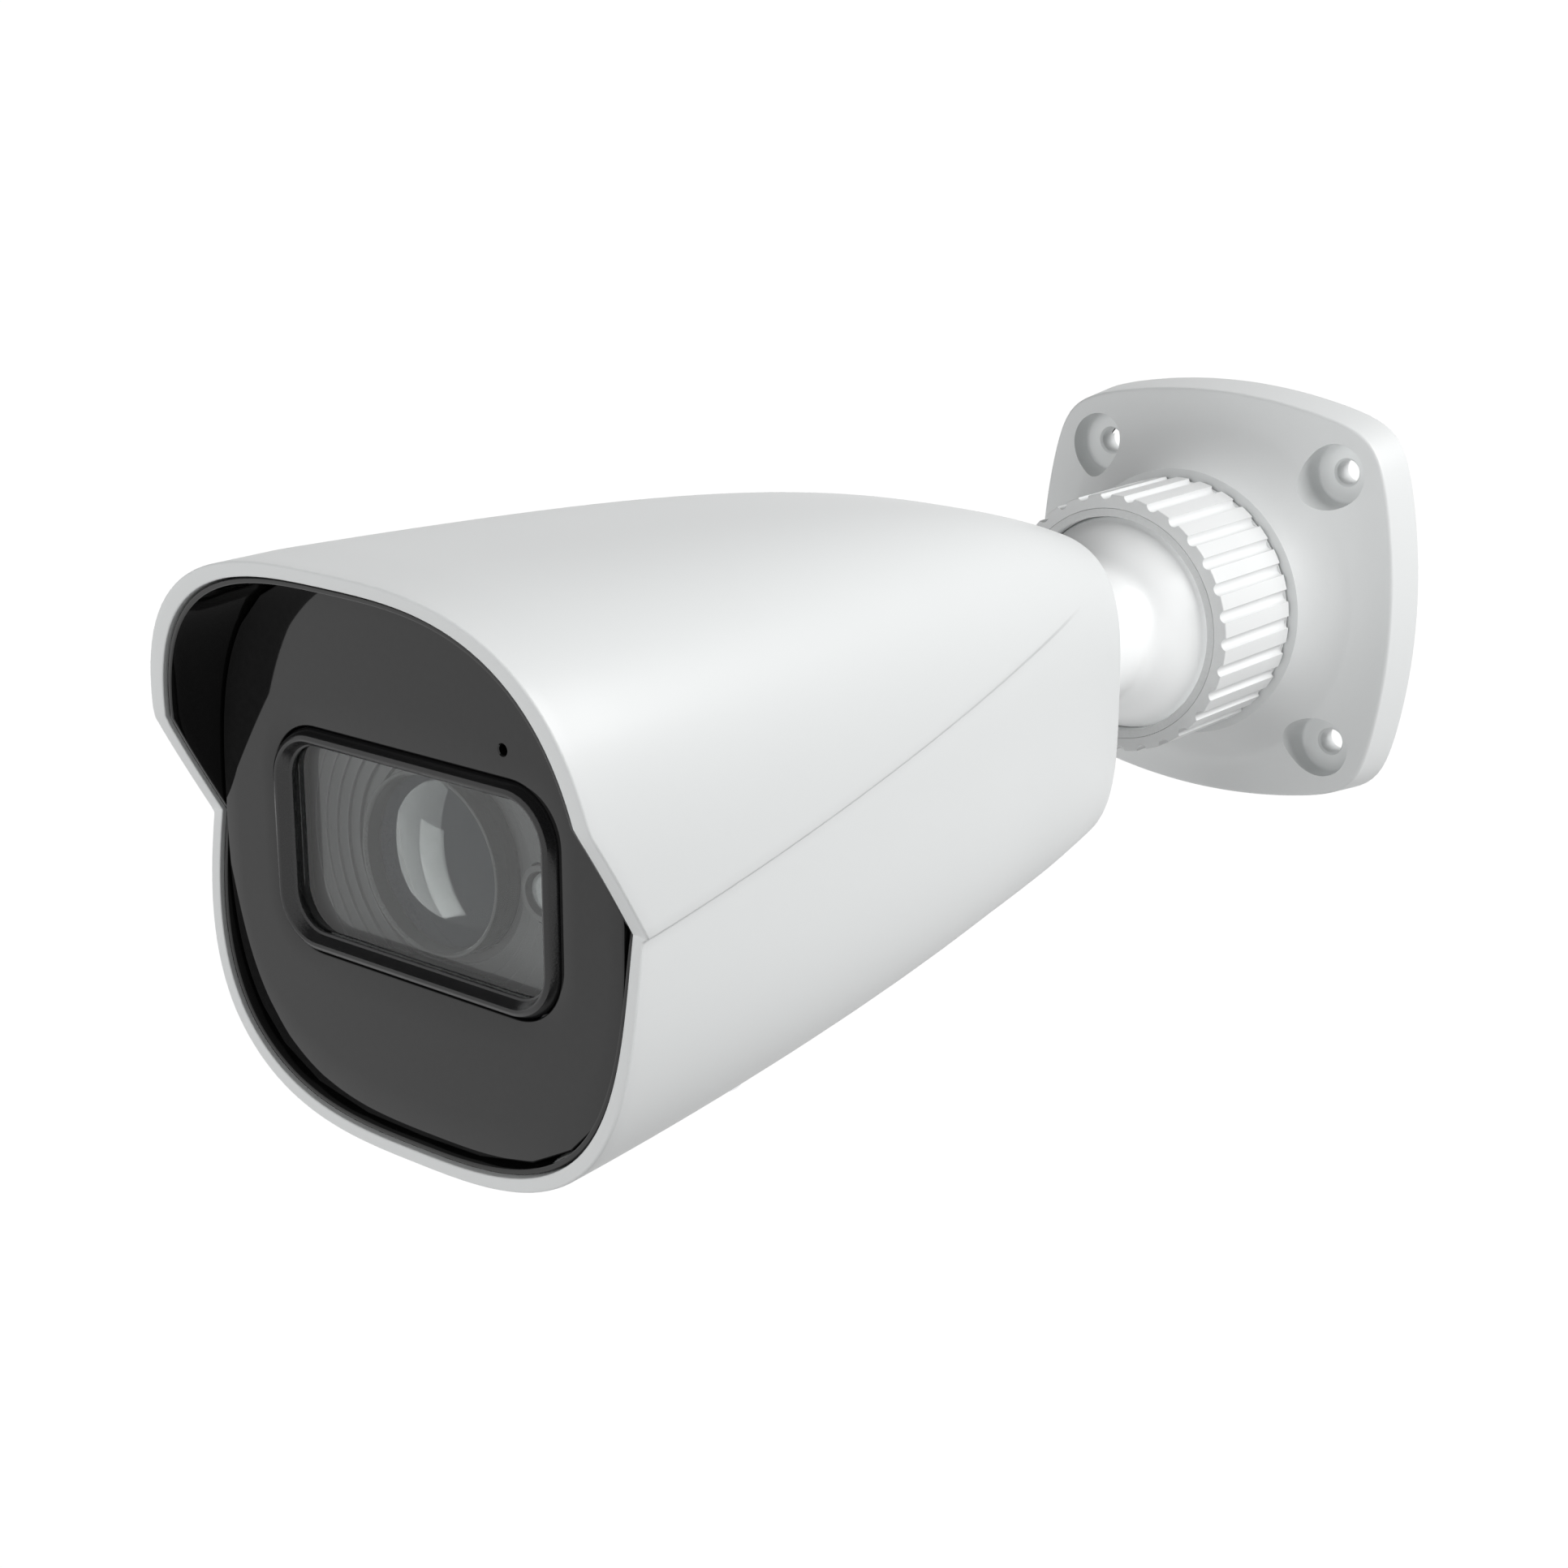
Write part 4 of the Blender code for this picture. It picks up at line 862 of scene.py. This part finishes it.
class FRONT_OT_window(bpy.types.Operator):
    """Build the raised bezel and the clear pane behind it"""
    bl_idname = "security_camera.window"
    bl_label = "Bezel and window"

    def execute(self, context):
        top = PANEL_FRONT + context.scene.camera_front.ridge / MM
        profile = rounded([(0.0, 229.5, 0.1), (0.0, 233.3, 0.2), (0.75, top - 0.25, 0.5), (1.35, top, 0.3),
                           (1.75, top - 0.1, 0.25), (2.6, 233.3, 0.3), (2.95, 233.1, 0.15),
                           (2.95, 232.65, 0.1),
                           (1.6, 232.65, 0.1), (1.6, 229.5, 0.1)], 0.2)
        bezel = swept("window_bezel_ring", bezel_outline, profile, FINISHES["black_satin"])
        settle(bezel, "camera", "black_satin", "window_bezel")

        def pane_outline(inset):
            return rectangle((28.2, 16.0), 4.5, inset, WINDOW, 10, 6)

        pane = swept("window_pane", pane_outline, [(0.25, 230.9), (0.0, 231.1), (0.0, 232.2), (0.25, 232.4)],
                     FINISHES["clear_window"], False)
        settle(pane, "camera", "clear_window", "window_glass")
        return {"FINISHED"}


class FRONT_OT_lens(bpy.types.Operator):
    """Build the stepped lens surround, the barrel's front, the lens and the small light"""
    bl_idname = "security_camera.lens"
    bl_label = "Lens and surround"

    def execute(self, context):
        settings = context.scene.camera_front
        # This finish carries painted light: it is lighter than the bezel's satin black to stand in for light
        # inside the window, on the surround steps and the small light's ring.
        surround = FINISHES["lens_surround"]
        pitch = settings.baffle_pitch / MM
        profile = [(40.0, 222.0), (14.9, 222.0), (14.9, 226.0), (16.4, 226.0)]
        radius, level = 16.4, 226.0
        for i in range(settings.baffles):
            rise = 0.85 - 0.1 * i
            profile.append((radius, level + rise, 0.12))
            profile.append((radius + 0.45, level + rise, 0.1))
            profile.append((radius + pitch, level + rise - 0.22, 0.05))
            radius += pitch
            level += rise - 0.22
        profile.append((40.0, level))
        cone = turned("lens_surround_steps", rounded(profile, 0.18, 3), surround, WINDOW, 144)
        plan = [[(x, -ahead, z) for x, z in rectangle((29.0, 17.0), 3.0, 0.0, WINDOW)]
                for ahead in (220.0, 231.0)]
        cut(cone, solid("surround_plan", plan, surround), "INTERSECT")
        cut(cone, turned("light_pocket", [(0.0, 232.0), (4.75, 232.0), (4.75, 220.0), (0.0, 220.0)], surround,
                         SMALL_LIGHT, 64, False))
        settle(reshade(cone), "camera", "black_satin", "lens_shroud")

        barrel = turned("lens_barrel_front", rounded([
            (14.6, 230.5), (14.6, 222.0), (12.9, 222.0), (12.9, 190.0), (11.5, 190.0), (11.5, 222.4),
            (13.8, 222.6),
            (13.8, 230.1), (14.1, 230.5)], 0.15, 3), FINISHES["black_satin"], WINDOW, 128)
        settle(barrel, "camera", "black_satin", "lens_barrel")

        curve, tip = 32.0, 230.6
        rim = math.degrees(math.asin(13.6 / curve))
        dome = ball_arc(curve, tip - curve, 0.0, rim, 22)
        dome = [(0.0, dome[0][1])] + dome[1:]
        edge = dome[-1][1]
        element = turned("lens_front_element", dome + [(13.6, edge - 1.4), (0.0, edge - 1.4)],
                         FINISHES["lens_glass"],
                         WINDOW, 96, False)
        settle(element, "camera", "lens_glass", "front_element")

        ring = turned("light_ring", rounded([(3.45, 223.0), (3.45, 228.2), (4.4, 228.2), (4.4, 223.0)], 0.12,
                                            3),
                      surround, SMALL_LIGHT, 64)
        settle(ring, "camera", "black_satin")
        lamp = turned("light_lens_cap", [(0.0, 227.9), (1.2, 227.85), (2.2, 227.7), (2.9, 227.4),
                                         (3.15, 227.0),
                                         (3.15, 223.2), (0.0, 223.2)], FINISHES["led_lens"], SMALL_LIGHT, 64,
                                         False)
        settle(lamp, "camera", "led_lens", "light_led")
        return {"FINISHED"}


class BRACKET_OT_plate(bpy.types.Operator):
    """Build the wall plate with its dome, counterbored holes and cable recess"""
    bl_idname = "security_camera.plate"
    bl_label = "Wall plate"

    def execute(self, context):
        settings = context.scene.camera_bracket
        white = FINISHES["white_cast"]
        angles = full_turn(192)
        soft = settings.plate_edge_radius / MM

        def ring(half, ahead):
            return [hoop(bowed_square_radius(a, half, PLATE_BOW, PLATE_CORNERS), ahead, [a])[0]
                    for a in angles]

        def groove_ring(half, ahead):
            return [hoop(superellipse_radius(a, half, half, GASKET_CORNERS), ahead, [a])[0] for a in angles]

        rows = [hoop(18.0, 8.0, angles), hoop(18.0, 0.0, angles)]
        rows += [groove_ring(half, ahead) for half, ahead in ((34.6, 0.0), (34.6, 1.3), (38.4, 1.3),
                                                              (38.4, 0.0))]
        rows += [ring(42.7, 0.0), ring(43.0, 0.3), ring(PLATE_FRONT_HALF, PLATE_THICKNESS - soft)]
        rows += [ring(PLATE_FRONT_HALF - soft * inwards, PLATE_THICKNESS - soft * backwards)
                 for inwards, backwards in quarter(5, 1)]
        edge = rows[-1]
        boss_radius, boss_top = 27.4, 20.5
        for i in range(1, 27):
            u = i / 26
            ahead = PLATE_THICKNESS + (boss_top - PLATE_THICKNESS) * u ** 2.6
            rows.append([(x + (boss_radius * math.cos(a) - x) * u, -ahead,
                          z + (boss_radius * math.sin(a) - z) * u)
                         for (x, _, z), a in zip(edge, angles)])
        cup = ball_arc(22.7, BALL_AHEAD, 104.6, 108.0, 3)
        boss = [(boss_radius - 0.3, boss_top), (23.6, boss_top), (23.6, 30.3), (23.3, 30.6),
                (cup[0][0] + 0.1, 30.6)]
        boss += cup + [(21.7, 26.0), (21.7, 15.0), (9.3, 15.0), (9.0, 14.7), (9.0, 8.3), (9.3, 8.0)]
        rows += [hoop(radius, ahead, angles) for radius, ahead in boss]
        plate = solid("wall_plate_cast", rows, white, True)

        half = settings.hole_spacing / MM / 2
        bore = settings.counterbore / MM
        profile = [(0.0, 25.0), (bore + 0.25, 25.0), (bore + 0.25, 12.4, 0.0), (bore, 10.6, 0.0),
                   (bore, 5.0, 0.8),
                   (2.9, 5.0, 0.15), (2.5, 4.5, 0.1), (2.5, -3.0), (0.0, -3.0)]
        for x in (-half, half):
            for z in (-half, half):
                cut(plate, turned("counterbore", rounded(profile, 0.0, 5, False), white, (x, z), 64, False))
        settle(reshade(plate, 34.0), "bracket", "white_cast", "wall_plate")
        return {"FINISHED"}


def geometry_tree(name, sockets):
    """A node group with these inputs and a mesh as its output: its builder and its inputs by name."""
    tree = bpy.data.node_groups.new(name, "GeometryNodeTree")
    for title, kind in sockets:
        tree.interface.new_socket(title, in_out="INPUT", socket_type="NodeSocket" + kind)
    tree.interface.new_socket("Mesh", in_out="OUTPUT", socket_type="NodeSocketGeometry")
    nodes = Nodes(tree)
    source = tree.nodes.new("NodeGroupInput")
    return nodes, {title: Maths(nodes, source.outputs[title]) for title, _ in sockets}


def end_tree(nodes, mesh, material):
    """Make the instances real, paint them and send them out."""
    real = nodes.node("GeometryNodeRealizeInstances", inputs={0: mesh})
    painted = nodes.node("GeometryNodeSetMaterial", inputs={"Geometry": real, "Material": material})
    nodes.tree.links.new(painted.socket, nodes.tree.nodes.new("NodeGroupOutput").inputs[0])
    return nodes.tree


def groove_tree():
    """Geometry nodes that press evenly spaced round grooves into the outside of a ring about the Y axis."""
    nodes, given = geometry_tree("finger_grooves", (("Ring", "Geometry"), ("Count", "Int"),
                                                    ("Radius", "Float"),
                                                    ("Rim", "Float"), ("Start", "Float"),
                                                    ("Material", "Material")))
    size, rim = given["Radius"], given["Rim"]
    place = nodes.node("GeometryNodeInputPosition")
    x, y, z = (nodes.node("ShaderNodeSeparateXYZ", inputs={0: place}, output=i) for i in range(3))
    radius = (x * x + z * z).root()
    pitch = 2 * math.pi / given["Count"]
    turns = z.combine("ARCTAN2", z, x) / pitch
    across = (turns - turns.whole()) * pitch * rim
    depth = (size * size - across * across).at_least(0.0).root()
    floor = rim + GROOVE_LIFT * MM - depth
    wanted = y.below(given["Start"] * -1.0) * radius.above(rim - GROOVE_BAND * MM)
    share = wanted * (radius.at_most(floor) / radius - 1.0) + 1.0
    moved = nodes.node("ShaderNodeCombineXYZ", inputs={0: x * share, 1: y, 2: z * share})
    pressed = nodes.node("GeometryNodeSetPosition", inputs={"Geometry": given["Ring"], "Position": moved})
    return end_tree(nodes, pressed, given["Material"])


def screw_tree():
    """Geometry nodes that set one screw at each end of a line."""
    nodes, given = geometry_tree("cover_screws", (("Screw", "Geometry"), ("Count", "Int"),
                                                  ("Spacing", "Float"),
                                                  ("Material", "Material")))
    start, end = (nodes.node("ShaderNodeCombineXYZ", inputs={0: given["Spacing"] * share})
                  for share in (-0.5, 0.5))
    line = nodes.node("GeometryNodeMeshLine", {"mode": "END_POINTS"},
                      {"Count": given["Count"], "Start Location": start, "Offset": end})
    spread = nodes.node("GeometryNodeInstanceOnPoints", inputs={"Points": line, "Instance": given["Screw"]})
    return end_tree(nodes, spread, given["Material"])


def apply_tree(obj, tree, values):
    """Run a node tree on an object with its inputs set by identifier, and keep the plain mesh."""
    modifier = obj.modifiers.new("shape", "NODES")
    modifier.node_group = tree
    for item in tree.interface.items_tree:
        if item.in_out == "INPUT" and item.name in values:
            modifier[item.identifier] = values[item.name]
    return flatten(obj)


class BRACKET_OT_collar(bpy.types.Operator):
    """Build the grooved lock collar and the clamp ring inside its mouth"""
    bl_idname = "security_camera.collar"
    bl_label = "Lock collar"

    def execute(self, context):
        settings = context.scene.camera_bracket
        rim = 25.9
        profile = rounded([
            (25.2, 20.8, 0.15), (25.2, 21.3, 0.05), (rim, 21.4, 0.0), (rim, 21.7, 0.0), (rim, 45.3, 0.3),
            (23.2, 45.3, 0.1), (23.2, 40.8, 0.1), (23.95, 40.8, 0.1), (23.95, 20.8, 0.2)], 0.2, 4)
        size = settings.groove_radius / MM
        count = settings.grooves
        half = math.sqrt(size ** 2 - GROOVE_LIFT ** 2) / rim
        pitch = 2 * math.pi / count
        offsets = [half * math.sin(math.pi / 2 * i / 5) for i in range(-5, 6)]
        spare = pitch - 2 * half
        offsets += [half + spare * share for share in (0.06, 0.5, 0.94)]
        angles = sorted(pitch * i + offset for i in range(count) for offset in offsets)
        rows = [hoop(radius, ahead, angles) for radius, ahead in profile]
        collar = solid("lock_collar_grooved", rows, FINISHES["collar_white"], True)
        apply_tree(collar, groove_tree(), {"Count": count, "Radius": settings.groove_radius, "Rim": rim * MM,
                                           "Start": 21.35 * MM, "Material": FINISHES["collar_white"]})
        settle(reshade(collar, 32.0), "collar", "collar_white", "lock_collar")

        seat = ball_arc(22.6, BALL_AHEAD, 73.5, 84.0, 8)
        seat.reverse()
        profile = [(23.14, 45.3, 0.04), (23.14, 40.5, 0.1), (23.7, 40.5, 0.1), (23.7, seat[0][1], 0.1)] + [
            (*point, 0.0) for point in seat] + [(21.5, 43.2, 0.2), (21.5, 45.1, 0.2), (21.7, 45.3, 0.1)]
        ring = turned("clamp_ring_mouth", rounded(profile, 0.1, 3), FINISHES["clamp_grey"])
        settle(ring, "clamp", "clamp_grey", "clamp_ring")
        return {"FINISHED"}


class BRACKET_OT_ball(bpy.types.Operator):
    """Build the ball with its hollow neck"""
    bl_idname = "security_camera.ball"
    bl_label = "Ball and neck"

    def execute(self, context):
        ball, neck, waist, fillet = 22.3, 13.5, 14.0, 6.5
        across = waist + fillet
        forward = math.sqrt((ball + fillet) ** 2 - across ** 2)
        contact = math.atan2(across, forward)
        profile = [(neck, 92.0, 0.4), (neck, 78.4, 0.0), (16.5, 78.4, 0.25), (16.5, 74.5, 0.8),
                   (waist, 71.0, 1.2)]
        points = rounded(profile + [(waist, 62.0)], 0.3, 4, False)[:-1]
        for i in range(11):
            angle = math.pi + (math.pi / 2 - contact) * i / 10
            points.append((across + fillet * math.cos(angle),
                           BALL_AHEAD + forward + fillet * math.sin(angle)))
        end = 180.0 - math.degrees(math.asin(11.0 / ball))
        points += ball_arc(ball, BALL_AHEAD, math.degrees(contact), end, 48)[1:]
        back = points[-1][1]
        points += [(7.8, back), (7.5, back + 0.3), (7.5, 91.7), (7.8, 92.0)]
        piece = turned("ball_and_neck", points, FINISHES["ball_white"], steps=144)
        settle(piece, "ball", "ball_white", "ball_neck")
        return {"FINISHED"}


class HOUSING_OT_cover(bpy.types.Operator):
    """Build the service cover under the housing and its two domed screws"""
    bl_idname = "security_camera.cover"
    bl_label = "Service cover"

    def execute(self, context):
        proud = context.scene.camera_housing.cover_proud / MM
        inner, soft = 1.1, 0.5

        def ring(inset, offset):
            return [(x, -COVER_AHEAD + y, underside(x, COVER_AHEAD - y) - offset)
                    for x, y in cover_outline(inset)]

        rows = [ring(0.0, -inner), ring(0.0, proud - soft)]
        rows += [ring(soft * inwards, proud - soft * lower) for inwards, lower in quarter(4, 1)]
        insets = (1.5, 3.0, 6.0, 10.0, 14.0, 18.0, 21.5)
        rows += [ring(inset, proud) for inset in insets]
        rows += [ring(inset, -inner) for inset in reversed(insets)]
        plate = solid("service_cover_plate", rows, FINISHES["white_cast"], True)
        seat = underside(17.2, COVER_AHEAD) - proud - 0.3
        drill = ((3.3, -60.0), (3.3, seat + 0.35), (1.7, seat + 0.35), (1.7, -30.0))
        for x in (-COVER_SCREW_SIDE, COVER_SCREW_SIDE):
            cut(plate, solid("screw_seat", [level_hoop(radius, z, 48, x) for radius, z in drill],
                             FINISHES["white_cast"]))
        settle(reshade(plate, 40.0), "cover", "white_cast", "service_cover")

        head = [(0.0, 1.9), (0.7, 1.86), (1.4, 1.68), (2.0, 1.33), (2.45, 0.9), (2.72, 0.45), (2.8, 0.1),
                (2.7, 0.0),
                (1.35, 0.0), (1.35, -5.0), (0.0, -5.0)]
        rows = [[(0.0, -COVER_AHEAD, seat - height)] if radius == 0.0 else level_hoop(radius, seat - height,
                                                                                      48)
                for radius, height in head]
        screw = solid("cover_screws", rows, FINISHES["polished_screw"])
        socket = [level_hoop(1.05, z, 6) for z in (seat - 3.0, seat - 0.7)]
        cut(screw, solid("socket", socket, FINISHES["polished_screw"]))
        reshade(screw, 30.0)
        apply_tree(screw, screw_tree(), {"Count": 2, "Spacing": 2 * COVER_SCREW_SIDE * MM,
                                         "Material": FINISHES["polished_screw"]})
        settle(screw, "cover", "polished_screw", "cover_screw_left", "cover_screw_right")
        return {"FINISHED"}


class WORKS_OT_finishes(bpy.types.Operator):
    """Give the carried-over nodes of the frame their finishes"""
    bl_idname = "security_camera.works"
    bl_label = "Inner works"

    def execute(self, context):
        slots = {row["node"]: row["material_slot"] for row in frame["record"]["subparts"]}
        for name, obj in frame["nodes"].items():
            finish = FINISHES[slots[name]]
            for slot in obj.material_slots:
                slot.material = finish
            if not obj.material_slots:
                obj.data.materials.append(finish)
        return {"FINISHED"}


def soft_light(name, place, target, size, power):
    """A rectangular light that faces its target."""
    lamp = bpy.data.lights.new(name, "AREA")
    lamp.shape = "RECTANGLE"
    lamp.size, lamp.size_y = size
    lamp.energy = power
    obj = bpy.data.objects.new(name, lamp)
    obj.location = place
    obj.rotation_euler = (Vector(target) - Vector(place)).to_track_quat("-Z", "Y").to_euler()
    bpy.context.scene.collection.objects.link(obj)
    return obj


def show_white(nodes, kind, dim, output):
    """Show plain white to the camera and in mirror images, and the dim shader to all other light."""
    seen = nodes.node("ShaderNodeLightPath") + nodes.node("ShaderNodeLightPath", output=GLOSSY_RAY)
    white = nodes.node(kind, inputs={"Color": (1.0, 1.0, 1.0, 1.0), "Strength": SHOWN_WHITE})
    mixed = nodes.node("ShaderNodeMixShader", inputs={0: seen, 1: Maths(nodes, dim), 2: white})
    nodes.tree.links.new(mixed.socket, nodes.tree.nodes[output].inputs["Surface"])


class STAGE_OT_studio(bpy.types.Operator):
    """Set up the pale floor, the soft lights and the camera"""
    bl_idname = "security_camera.studio"
    bl_label = "Stage"

    def execute(self, context):
        settings = context.scene.camera_stage
        scene = context.scene
        world = bpy.data.worlds.new("studio")
        world.use_nodes = True
        dim = world.node_tree.nodes["Background"]
        dim.inputs["Color"].default_value = (0.985, 0.995, 1.0, 1.0)
        dim.inputs["Strength"].default_value = settings.ambient
        show_white(Nodes(world.node_tree), "ShaderNodeBackground", dim.outputs[0], "World Output")
        scene.world = world

        pale = Finish("studio_floor", (0.35, 0.35, 0.35), 0.9)
        pale.shade(pale.noise(3.0, 2.0, 0.5), 0.005)
        show_white(pale, "ShaderNodeEmission", pale.shader.outputs[0], "Material Output")
        side = 9000.0
        drop = settings.floor_drop / MM
        floor = box_piece("floor", (-side, -side, -drop - 10.0), (side, side, -drop), pale.material)

        centre = (0.0, -0.14, 0.0)
        soft_light("side_softbox", (1.25, 0.45, 0.95), centre, (1.3, 0.9), settings.key)
        fill = soft_light("front_fill", (-0.1, -1.7, 0.25), centre, (1.0, 1.0), settings.fill)
        fill.visible_glossy = False
        fixed = ("wall_plate_cast", "lock_collar_grooved", "clamp_ring_mouth")
        for name, place, share, lit in (("bracket_fill", (0.3, -1.2, -0.45), 0.5, fixed),
                                        ("ball_fill", (0.6, -1.0, -0.15), 0.95, ("ball_and_neck",))):
            bracket = bpy.data.collections.new(name + "_lights")
            for piece in lit:
                bracket.objects.link(bpy.data.objects[piece])
            even = soft_light(name, place, (0.0, 0.0, 0.0), (0.9, 0.9), settings.bracket_fill * share)
            even.visible_glossy = False
            even.light_linking.receiver_collection = bracket
            even.light_linking.blocker_collection = bracket
        mirrored = bpy.data.collections.new("shown_in_the_lens")
        mirrored.objects.link(bpy.data.objects["lens_front_element"])
        for name, place, size, share in (("lens_strip", (-0.41, -0.495, -0.10), (0.40, 0.56), 0.75),
                                         ("lens_strip_low", (-0.30, -0.56, -0.17), (0.16, 0.34), 0.25)):
            strip = soft_light(name, place, (0.0, -0.23, 0.0), size, settings.strip * share)
            strip.visible_diffuse = False
            strip.light_linking.receiver_collection = mirrored

        lens = bpy.data.cameras.new("camera")
        lens.sensor_width = 36.0
        lens.lens = 63.77
        lens.clip_start = 0.01
        camera = bpy.data.objects.new("camera", lens)
        right = Vector((0.76889, 0.63938, 0.00169))
        up = Vector((-0.19098, 0.22715, 0.95495))
        view = Vector((-0.61019, 0.73457, -0.29676))
        camera.matrix_world = Matrix((right, up, -view)).transposed().to_4x4()
        camera.location = (0.29207, -0.49887, 0.13308)
        scene.collection.objects.link(camera)
        scene.camera = camera
        scene.view_settings.view_transform = "Standard"
        return {"FINISHED"}


STEPS = (HOUSING_OT_shell, HOUSING_OT_lining, FRONT_OT_panel, FRONT_OT_window, FRONT_OT_lens,
         BRACKET_OT_plate,
         BRACKET_OT_collar, BRACKET_OT_ball, HOUSING_OT_cover, WORKS_OT_finishes, STAGE_OT_studio)
SETTINGS = (("camera_housing", HousingSettings), ("camera_front", FrontSettings),
            ("camera_bracket", BracketSettings),
            ("camera_finish", FinishSettings), ("camera_stage", StageSettings))


class VIEW3D_PT_security_camera(bpy.types.Panel):
    """Sizes, colours and build steps of the security camera"""
    bl_label = "Security camera"
    bl_space_type = "VIEW_3D"
    bl_region_type = "UI"
    bl_category = "Security camera"

    def draw(self, context):
        for name, _ in SETTINGS:
            group = getattr(context.scene, name)
            box = self.layout.box()
            for field in group.__annotations__:
                box.prop(group, field)
        for step in STEPS:
            self.layout.operator(step.bl_idname)


def register():
    for name, group in SETTINGS:
        bpy.utils.register_class(group)
        setattr(bpy.types.Scene, name, PointerProperty(type=group))
    for step in STEPS:
        bpy.utils.register_class(step)
    bpy.utils.register_class(VIEW3D_PT_security_camera)


def unregister():
    bpy.utils.unregister_class(VIEW3D_PT_security_camera)
    for step in reversed(STEPS):
        bpy.utils.unregister_class(step)
    for name, group in reversed(SETTINGS):
        delattr(bpy.types.Scene, name)
        bpy.utils.unregister_class(group)


def main():
    register()
    prepare_finishes()
    for step in STEPS:
        group, action = step.bl_idname.split(".")
        getattr(getattr(bpy.ops, group), action)()


if __name__ == "__main__":
    main()
